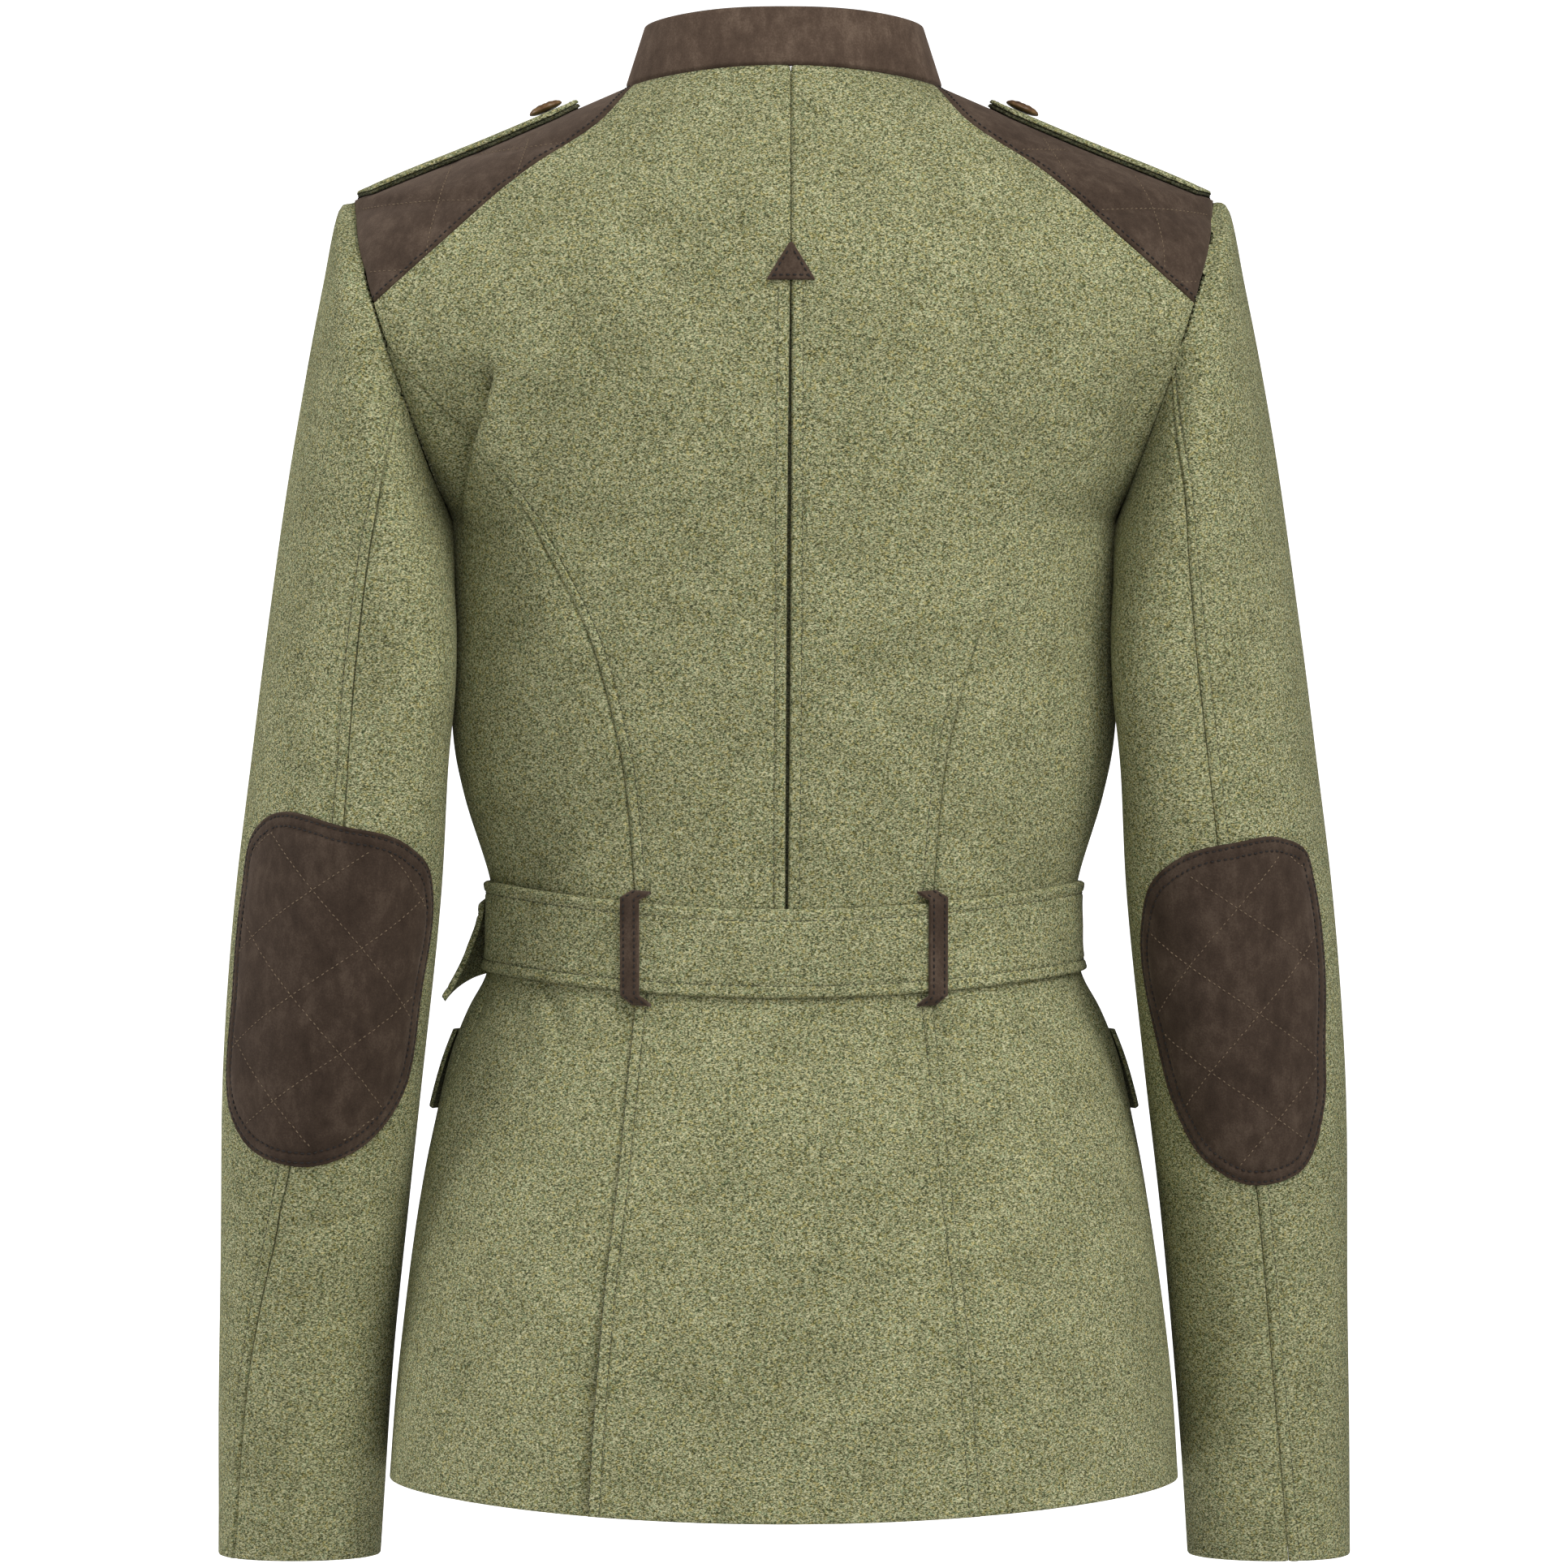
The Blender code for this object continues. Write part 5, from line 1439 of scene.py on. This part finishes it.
def make_pleat():
    """Underlay behind the open edges of the pleat."""
    knots = (LEVEL["waist"] + WAIST_GAP,) + BODY_ROWS + (LEVEL["arm_mid"],) + PLEAT_ROWS
    low = (lambda lv: sigma_at("b", pleat_x(lv) - PLEAT_HALF, lv))
    high = (lambda lv: sigma_at("b", pleat_x(lv) + PLEAT_HALF, lv))
    place = lifted(between("b", low, high, spread(knots)), -LAP)
    panel = fine_panel(place, len(knots), (False, False))
    # The underlay is coloured with painted deep shade, for the shadow inside the pleat's gap
    make_shell("back_pleat", panel, CLOTH, "loden_shade", LODEN_PAINTED_DEEP_SHADE)


def make_skirt():
    """Skirt panels below the belt; returns the topstitching."""
    knots = SKIRT_ROWS + (LEVEL["waist"] - WAIST_GAP,)
    place = creased(between("b", lambda lv: -skirt_seam(lv), skirt_seam, spread(knots)))
    panel = fine_panel(place, len(knots), (True, True), (True, False))
    edge = panel.nearest("left", "right")
    open_part = np.clip((VENT_TOP - panel.base[..., 2]) / VENT_LONG, 0, 1)
    lift = VENT_LIFT * open_part * np.exp(-(edge / VENT_REACH) ** 2)
    panel.base = panel.base + panel.outward * lift[..., None]
    panel.push += folded(panel.nearest("left", "right", "low")) + welt(edge, TOPSTITCH) + drape(panel.base)
    piece = make_shell("skirt_back", panel, CLOTH, "loden", LODEN)
    bpy.context.view_layer.update()
    # The rows at SEAM_ROW draw the skirt seams' dark shadow line in thread, as painted shade
    lines = [inset_line(panel, edge, row) for edge in ("left", "right") for row in (SEAM_ROW, TOPSTITCH)]
    lines += [laid_line(piece, VENT_TACK, side) for side, _ in SIDES]
    for side, word in SIDES:
        place = creased(skirt_side(side, spread(knots)))
        panel = fine_panel(place, len(knots), (False, True), (True, False))
        panel.push += sewn(panel.right) + folded(panel.low) + drape(panel.base)
        make_shell("skirt_side_" + word, panel, CLOTH, "loden", LODEN)
    return lines


def make_fronts():
    """Fronts from hem to yoke, the right one over the left; returns the topstitching."""
    knots = SKIRT_ROWS + (LEVEL["waist"],) + BODY_ROWS + (LEVEL["arm_mid"], YOKE_CORNER) + YOKE_ROWS
    lap = (lambda lv: sigma_at("f", np.full_like(lv, FRONT_LAP), lv))
    left = between("f", lambda lv: -lap(lv), front_edge, spread(knots))
    right = between("f", lap, lambda lv: -front_edge(lv), spread(knots), front_push)
    lines = []
    for node, place in (("front_left", left), ("front_right", right)):
        panel = fine_panel(creased(place), len(knots), (True, True), (True, False))
        panel.push += folded(panel.nearest("left", "low")) + welt(panel.left, TOPSTITCH)
        panel.push += sewn(panel.right) + drape(panel.base)
        make_shell(node, panel, CLOTH, "loden", LODEN)
        lines.append(inset_line(panel, "left", TOPSTITCH))
    return lines


def make_yokes():
    """Quilted suede yokes; returns their edge stitching and quilting."""
    edges, quilting = [], []
    for side, word in SIDES:
        node = "yoke_" + word
        routes = [(corners, way) for corners in YOKE_LINES[word] for way in (1, -1)]
        sketch = [laid_line(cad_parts[node], corners, side, way)[0] for corners, way in routes]
        panel = fine_panel(creased(yoke_place(side)), 3, (True, True), (True, True), YOKE_PITCH)
        panel.push += sewn(panel.nearest("left", "right", "low", "high"))
        way_in = nearest_way(panel.base, np.concatenate(sketch))
        panel.push += -YOKE_TROUGH * np.exp(-(way_in / YOKE_TROUGH_WIDE) ** 2)
        piece = make_shell(node, panel, CLOTH, "suede", SUEDE_FINISH)
        bpy.context.view_layer.update()
        edges += [inset_line(panel, edge, EDGE_STITCH) for edge in ("low", "high")]
        quilting += [laid_line(piece, corners, side, way) for corners, way in routes]
    return edges, quilting


def make_collar():
    """Plain suede stand collar."""
    panel = fine_panel(collar_place, 2, (True, True), (True, True))
    panel.push += sewn(panel.low) + folded(panel.nearest("left", "right", "high"))
    # The collar's suede carries painted light from above
    make_shell("collar", panel, COLLAR_WALL, "suede", COLLAR_PAINTED_LIGHT)


def make_sleeves():
    """Two-piece sleeves; returns the topstitching of the back seams."""
    gap = SEAM / 2 / SLEEVE_RADIUS
    front = math.radians(FRONT_SEAM)
    lines = []
    for side, word in SIDES:
        turns = np.radians(np.array(BACK_SEAM[word], float))
        seam = (lambda ring, t=turns: smooth_column(t, ring))
        upper = sleeve_place(side, seam, lambda a: 0 * a + front - 2 * math.pi + gap,
                             lambda a: a - gap, spread(SLEEVE_ROWS))
        under = sleeve_place(side, seam, lambda a: a + gap,
                             lambda a: 0 * a + front - gap, spread(SLEEVE_ROWS))
        for node, place in (("sleeve_upper_" + word, upper), ("sleeve_under_" + word, under)):
            panel = fine_panel(creased(place), len(SLEEVE_ROWS), (True, True), (True, True))
            panel.push += sewn(panel.nearest("left", "right")) + folded(panel.high)
            panel.push += drape(panel.base)
            if place is upper:
                panel.push += welt(panel.right, TOPSTITCH)
                lines.append(inset_line(panel, "right", TOPSTITCH))
            make_shell(node, panel, CLOTH, "loden", LODEN)
    return lines


def armhole_seams():
    """Turned-in cloth that closes the armhole seams from below: lines for the sewing."""
    ring = armhole(np.linspace(0, 2 * math.pi, ARMHOLE_STEPS))
    ring[:, 1] += valley_fill(ring)
    outward = ring - ring.mean(axis=0)
    outward[:, 0] = 0
    outward = unit(outward)
    lines = []
    for side, _ in SIDES:
        mirror = np.array([side, 1, 1])
        lines.append(((ring - outward * ARMHOLE_SINK) * mirror, outward * mirror))
    return lines


def quilt_node(word):
    """Turn and height of the crossing that the quilting of a patch is laid out from."""
    x, z = (np.array([value]) for value in QUILT_NODE[word])
    return float(find_on_sleeve(x, z)[0][0]), float(z[0])


def quilt_puff(turn, z, word):
    """Puff of the quilted diamonds of a patch, laid out even round the sleeve."""
    node_turn, node_z = quilt_node(word)
    sides = np.array([QUILT_FIRST, QUILT_SECOND]).T
    spot = np.stack([QUILT_RADIUS * (node_turn - turn), z - node_z], axis=-1)
    count = spot @ np.linalg.inv(sides).T
    return QUILT_PUFF * np.abs(np.sin(math.pi * count[..., 0]) * np.sin(math.pi * count[..., 1]))


def patch_rim(panel):
    """Outline of a patch as a loop of points with outward directions."""
    loops = []
    for grid in (panel.base, panel.outward):
        loops.append(np.concatenate([grid[0, :-1], grid[:-1, -1], grid[-1, :0:-1], grid[:0:-1, 0]]))
    return loops


def rim_line(piece, rim, outward, way):
    """Row of stitches at a set way in from a patch's outline."""
    along = unit(np.roll(rim, -2, axis=0) - np.roll(rim, 2, axis=0))
    inward = unit(np.cross(outward, along))
    if np.sum(inward * (rim.mean(axis=0) - rim)) < 0:
        inward = -inward
    points = rim + inward * way
    points = points[nearest_way(points, rim) > RIM_SHARE * way]
    return settle(piece, np.concatenate([points, points[:1]]))


def quilt_lines(piece, rim, side, word):
    """Crossing lines of quilting inside a patch's inner row of stitches."""
    node_turn, node_z = quilt_node(word)
    first, second = np.array(QUILT_FIRST), np.array(QUILT_SECOND)
    lines = []
    for number in range(-QUILT_REACH, QUILT_REACH + 1):
        for step, along in ((second, first), (first, second)):
            count = int(2 * QUILT_REACH * np.hypot(*along) / LINE_PITCH)
            spots = number * step + np.linspace(-QUILT_REACH, QUILT_REACH, count)[:, None] * along
            turn, z = node_turn - spots[:, 0] / QUILT_RADIUS, node_z + spots[:, 1]
            shown = (np.abs(turn - math.pi / 2) < QUILT_TURN) & (np.abs(z - node_z) < QUILT_TALL)
            if shown.sum() > 2:
                points, outward = on_sleeve(side, turn[shown], z[shown])
                points, outward = settle(piece, points + outward * QUILT_LIFT)
                inside = nearest_way(points, rim) > PATCH_STITCH
                lines.append((points[inside], outward[inside]))
    return lines


def make_patches():
    """Quilted suede elbow patches; returns their edge stitching and quilting."""
    edges, quilting = [], []
    for side, word in SIDES:
        spot = patch_spot(PATCH[word])
        place = lifted(lambda u, v, s=side, at=spot: on_sleeve(s, *at(u, v)), REST + SUEDE)
        panel = fine_panel(place, 2, (True, True), (True, True), TRIM_PITCH)
        rim, outward = patch_rim(panel)
        way = nearest_way(panel.base, rim)
        hold = np.clip((way - PATCH_STITCH) / PATCH_STITCH, 0, 1)
        turn, height = (part.reshape(way.shape) for part in spot(panel.u.ravel(), panel.v.ravel()))
        panel.push += quilt_puff(turn, height, word) * hold + folded(way, SUEDE)
        panel.push += groove(way, EDGE_STITCH) + groove(way, PATCH_STITCH)
        # The patches' suede carries painted shade
        piece = make_shell("elbow_patch_" + word, panel, SUEDE, "suede", PATCH_PAINTED_SHADE)
        bpy.context.view_layer.update()
        edges += [rim_line(piece, rim, outward, row) for row in (EDGE_STITCH, PATCH_STITCH)]
        quilting += quilt_lines(piece, rim, side, word)
    return edges, quilting


def make_belt():
    """Belt and its loops; returns the topstitching and the loops' edge stitching."""
    panel = fine_panel(lifted(belt_place, REST + BELT_WALL), 2, (True, True), (True, True))
    panel.push += folded(panel.nearest("left", "right", "low", "high"))
    panel.push += groove(panel.nearest("low", "high"), TOPSTITCH)
    make_shell("belt", panel, BELT_WALL, "loden", LODEN)
    lines = [inset_line(panel, edge, TOPSTITCH) for edge in ("low", "high")]
    edges = []
    for side, word in SIDES:
        panel = fine_panel(lifted(loop_place(side), SUEDE), LOOP_KNOTS, pitch=LOOP_PITCH)
        panel.push += folded(panel.nearest("left", "right"), LOOP_ROUND)
        piece = cloth_shell("belt_loop_" + word + "_suede", panel, SUEDE, SUEDE_FINISH)
        on_body(piece, "suede", "belt_loop_" + word)
        edges += [inset_line(panel, edge, EDGE_STITCH) for edge in ("left", "right")]
    return lines, edges


def make_epaulettes():
    """Epaulettes of two layers, so that their edges show the groove between; returns stitching."""
    layer = (EPAULETTE_WALL - LAYER_GAP) / 2
    lines = []
    for side, word in SIDES:
        node = "epaulette_" + word
        under = fine_panel(lifted(epaulette_place(side), REST + layer), EPAULETTE_KNOTS, (True, True),
                           (True, True))
        under.push += folded(under.nearest("left", "right", "low", "high"), LAYER_ROUND)
        # The lower layer is coloured with painted deep shade, for the shadow under the upper layer
        lining = cloth_shell(node + "_under", under, layer, LODEN_PAINTED_DEEP_SHADE)
        on_body(lining, "loden", node)
        over = fine_panel(lifted(epaulette_place(side), REST + EPAULETTE_WALL), EPAULETTE_KNOTS, (True, True),
                          (True, True))
        way = over.nearest("left", "right", "low", "high")
        out = np.abs(over.base[..., 0])
        tip = np.clip(1 - (out.max() - out) / TIP_LONG, 0, 1)
        over.push += folded(way, LAYER_ROUND) + groove(way, TOPSTITCH) - TIP_THIN * layer * tip ** 2
        make_shell(node, over, layer, "loden", LODEN)
        lines += [inset_line(over, edge, TOPSTITCH) for edge in ("left", "right")]
    return lines


def make_trim():
    """Pocket flaps and the suede tab; returns topstitching and edge stitching."""
    lines = []
    for side, word in SIDES:
        panel = fine_panel(lifted(flap_place(side), FLAP_WALL), 2, (True, True), (True, True))
        way = panel.nearest("left", "right", "low")
        panel.push += folded(way) + groove(way, TOPSTITCH)
        # The flaps are coloured with painted shade, for the shadow they hang in
        make_shell("pocket_flap_" + word, panel, FLAP_WALL, "loden_shade", LODEN_PAINTED_SHADE)
        lines.append(inset_line(panel, "low", TOPSTITCH))
    panel = fine_panel(lifted(tab_place, REST + SUEDE), 2, (True, True), (True, True), LOOP_PITCH)
    panel.push += folded(panel.nearest("left", "right", "high"), LOOP_ROUND)
    make_shell("back_tab", panel, SUEDE, "suede", SUEDE_FINISH)
    edges = [inset_line(panel, edge, EDGE_STITCH) for edge in ("left", "right", "high")]
    return lines, edges


def braid(p, q):
    """Height of crossing leather strips, from 0 in the grooves to 1 on their backs."""
    i, j = np.floor(p), np.floor(q)
    a, b = (p - i) * 2 - 1, (q - j) * 2 - 1
    over = (i + j) % 2 == 0
    across, along = np.where(over, b, a), np.where(over, a, b)
    return np.sqrt(np.clip(1 - across ** 2, 0, 1)) * (1 - BRAID_DIP * along ** 2)


def make_button(node, spot, outward, size):
    """Domed button of braided leather strips lying on a spot."""
    radius, thick = size
    deselect()
    bpy.ops.mesh.primitive_uv_sphere_add(segments=BUTTON_SEGMENTS, ring_count=BUTTON_RINGS, radius=1)
    piece = bpy.context.active_object
    piece.name = node + "_leather"
    x, y, z = read_points(piece.data).T
    strip = BRAID_STRIPS / 2
    relief = braid((x + y) * strip + 0.5, (x - y) * strip + 0.5)
    top = np.clip(z, 0, 1) ** BUTTON_CROWN
    height = np.where(z > 0, BUTTON_BELLY + (1 - BUTTON_BELLY) * top, BUTTON_BELLY * (1 + z))
    height = height * thick - np.where(z > BRAID_EDGE, BRAID_DEPTH * (1 - relief), 0)
    local = np.stack([x * radius, y * radius, np.maximum(height, 0)], axis=-1)
    turn = np.array(Vector((0, 0, 1)).rotation_difference(Vector(outward)).to_matrix())
    write_points(piece.data, (local @ turn.T + spot) * MM)
    bpy.ops.object.shade_smooth()
    piece.data.materials.append(BUTTON_FINISH)
    on_body(piece, "button_leather", node)


def make_buttons():
    """Buttons of the epaulettes, the fronts and the belt."""
    for side, word in SIDES:
        points, outward = body_at("b", np.array([float(side)]), np.array([EPAULETTE_BUTTON]))
        spot = points[0] + outward[0] * (EPAULETTE_WALL + 2 * REST)
        make_button("epaulette_button_" + word, spot, outward[0], SMALL_BUTTON)
    for number, z in enumerate(FRONT_BUTTON_Z, 1):
        points, outward = body_at("f", np.array([0.0]), np.array([level_at(z, "cf_z")]))
        spot = points[0] + outward[0] * (LAP + REST)
        make_button("front_button_%d" % number, spot, outward[0], FRONT_BUTTON)
    points, outward = body_at("f", np.array([BELT_BUTTON_AT]), np.array([float(LEVEL["waist"])]))
    spot = points[0] + outward[0] * (LAP + 2 * BELT_WALL + SEAM + 3 * REST)
    make_button("belt_button", spot, outward[0], FRONT_BUTTON)


# Studio

def plain_white(name, glow):
    """White of the studio, glowing a little."""
    material, tree, shader, place = new_finish(name)
    tone = ramp(tree, noise(tree, place, WHITE_NOISE), WHITE_STOPS)
    tree.links.new(tone, shader.inputs["Base Color"])
    surface(shader, {"Roughness": 1.0, "Emission Color": WHITE, "Emission Strength": glow})
    return material


def make_stage():
    """White floor and backdrop."""
    for name, place, turn, size, glow in (
            ("floor", (0, 0, FLOOR_Z), (0, 0, 0), FLOOR_SIZE, 0.0),
            ("backdrop", (0, BACKDROP_Y, CAMERA_Z), (math.pi / 2, 0, 0), BACKDROP_SIZE, BACKDROP_GLOW)):
        deselect()
        bpy.ops.mesh.primitive_plane_add(size=size, location=place, rotation=turn)
        piece = bpy.context.active_object
        piece.name = name
        piece.data.materials.append(plain_white(name + "_white", glow))


def make_light(name, place, size, power):
    """Softbox aimed at the middle of the jacket."""
    data = bpy.data.lights.new(name, "AREA")
    data.shape = "SQUARE"
    data.size = size
    data.energy = power
    light = bpy.data.objects.new(name, data)
    bpy.context.scene.collection.objects.link(light)
    light.location = place
    light.rotation_euler = (AIM - Vector(place)).to_track_quat("-Z", "Y").to_euler()


def make_studio():
    """Lights, world, camera and view transform."""
    make_stage()
    for name, place, size, power in LIGHTS:
        make_light(name, place, size, power)
    scene = bpy.context.scene
    world = scene.world or bpy.data.worlds.new("studio")
    scene.world = world
    world.use_nodes = True
    background = world.node_tree.nodes["Background"]
    surface(background, {"Color": WHITE, "Strength": WORLD_STRENGTH})
    data = bpy.data.cameras.new("photo_camera")
    data.sensor_width = SENSOR
    data.lens = SENSOR * CAMERA_Y / VIEW_SIDE
    data.dof.use_dof = False
    camera = bpy.data.objects.new("photo_camera", data)
    scene.collection.objects.link(camera)
    camera.location = (0, CAMERA_Y, CAMERA_Z)
    camera.rotation_euler = (math.pi / 2, 0, math.pi)
    scene.camera = camera
    scene.view_settings.view_transform = "Standard"


def build():
    """Make every piece, then the sewing, then the studio."""
    topstitch = make_backs() + make_skirt() + make_fronts() + make_sleeves()
    belt_lines, loop_edges = make_belt()
    trim_lines, tab_edges = make_trim()
    topstitch += belt_lines + trim_lines + make_epaulettes()
    yoke_edges, yoke_quilting = make_yokes()
    patch_edges, patch_quilting = make_patches()
    make_collar()
    make_buttons()
    sew("topstitching", topstitch, "topstitch", "loden", LODEN_THREAD)
    edges = loop_edges + tab_edges + yoke_edges + patch_edges
    sew("suede_edge_stitching", edges, "edge", "suede", EDGE_THREAD)
    # The cords under the armhole seams are coloured with painted shade, so the seam gaps show as shaded cloth
    sew("armhole_seams", armhole_seams(), "seam", "loden", LODEN_PAINTED_SHADE)
    sew("quilting", yoke_quilting + patch_quilting, "quilting", "suede", QUILT_THREAD)
    make_studio()


build()
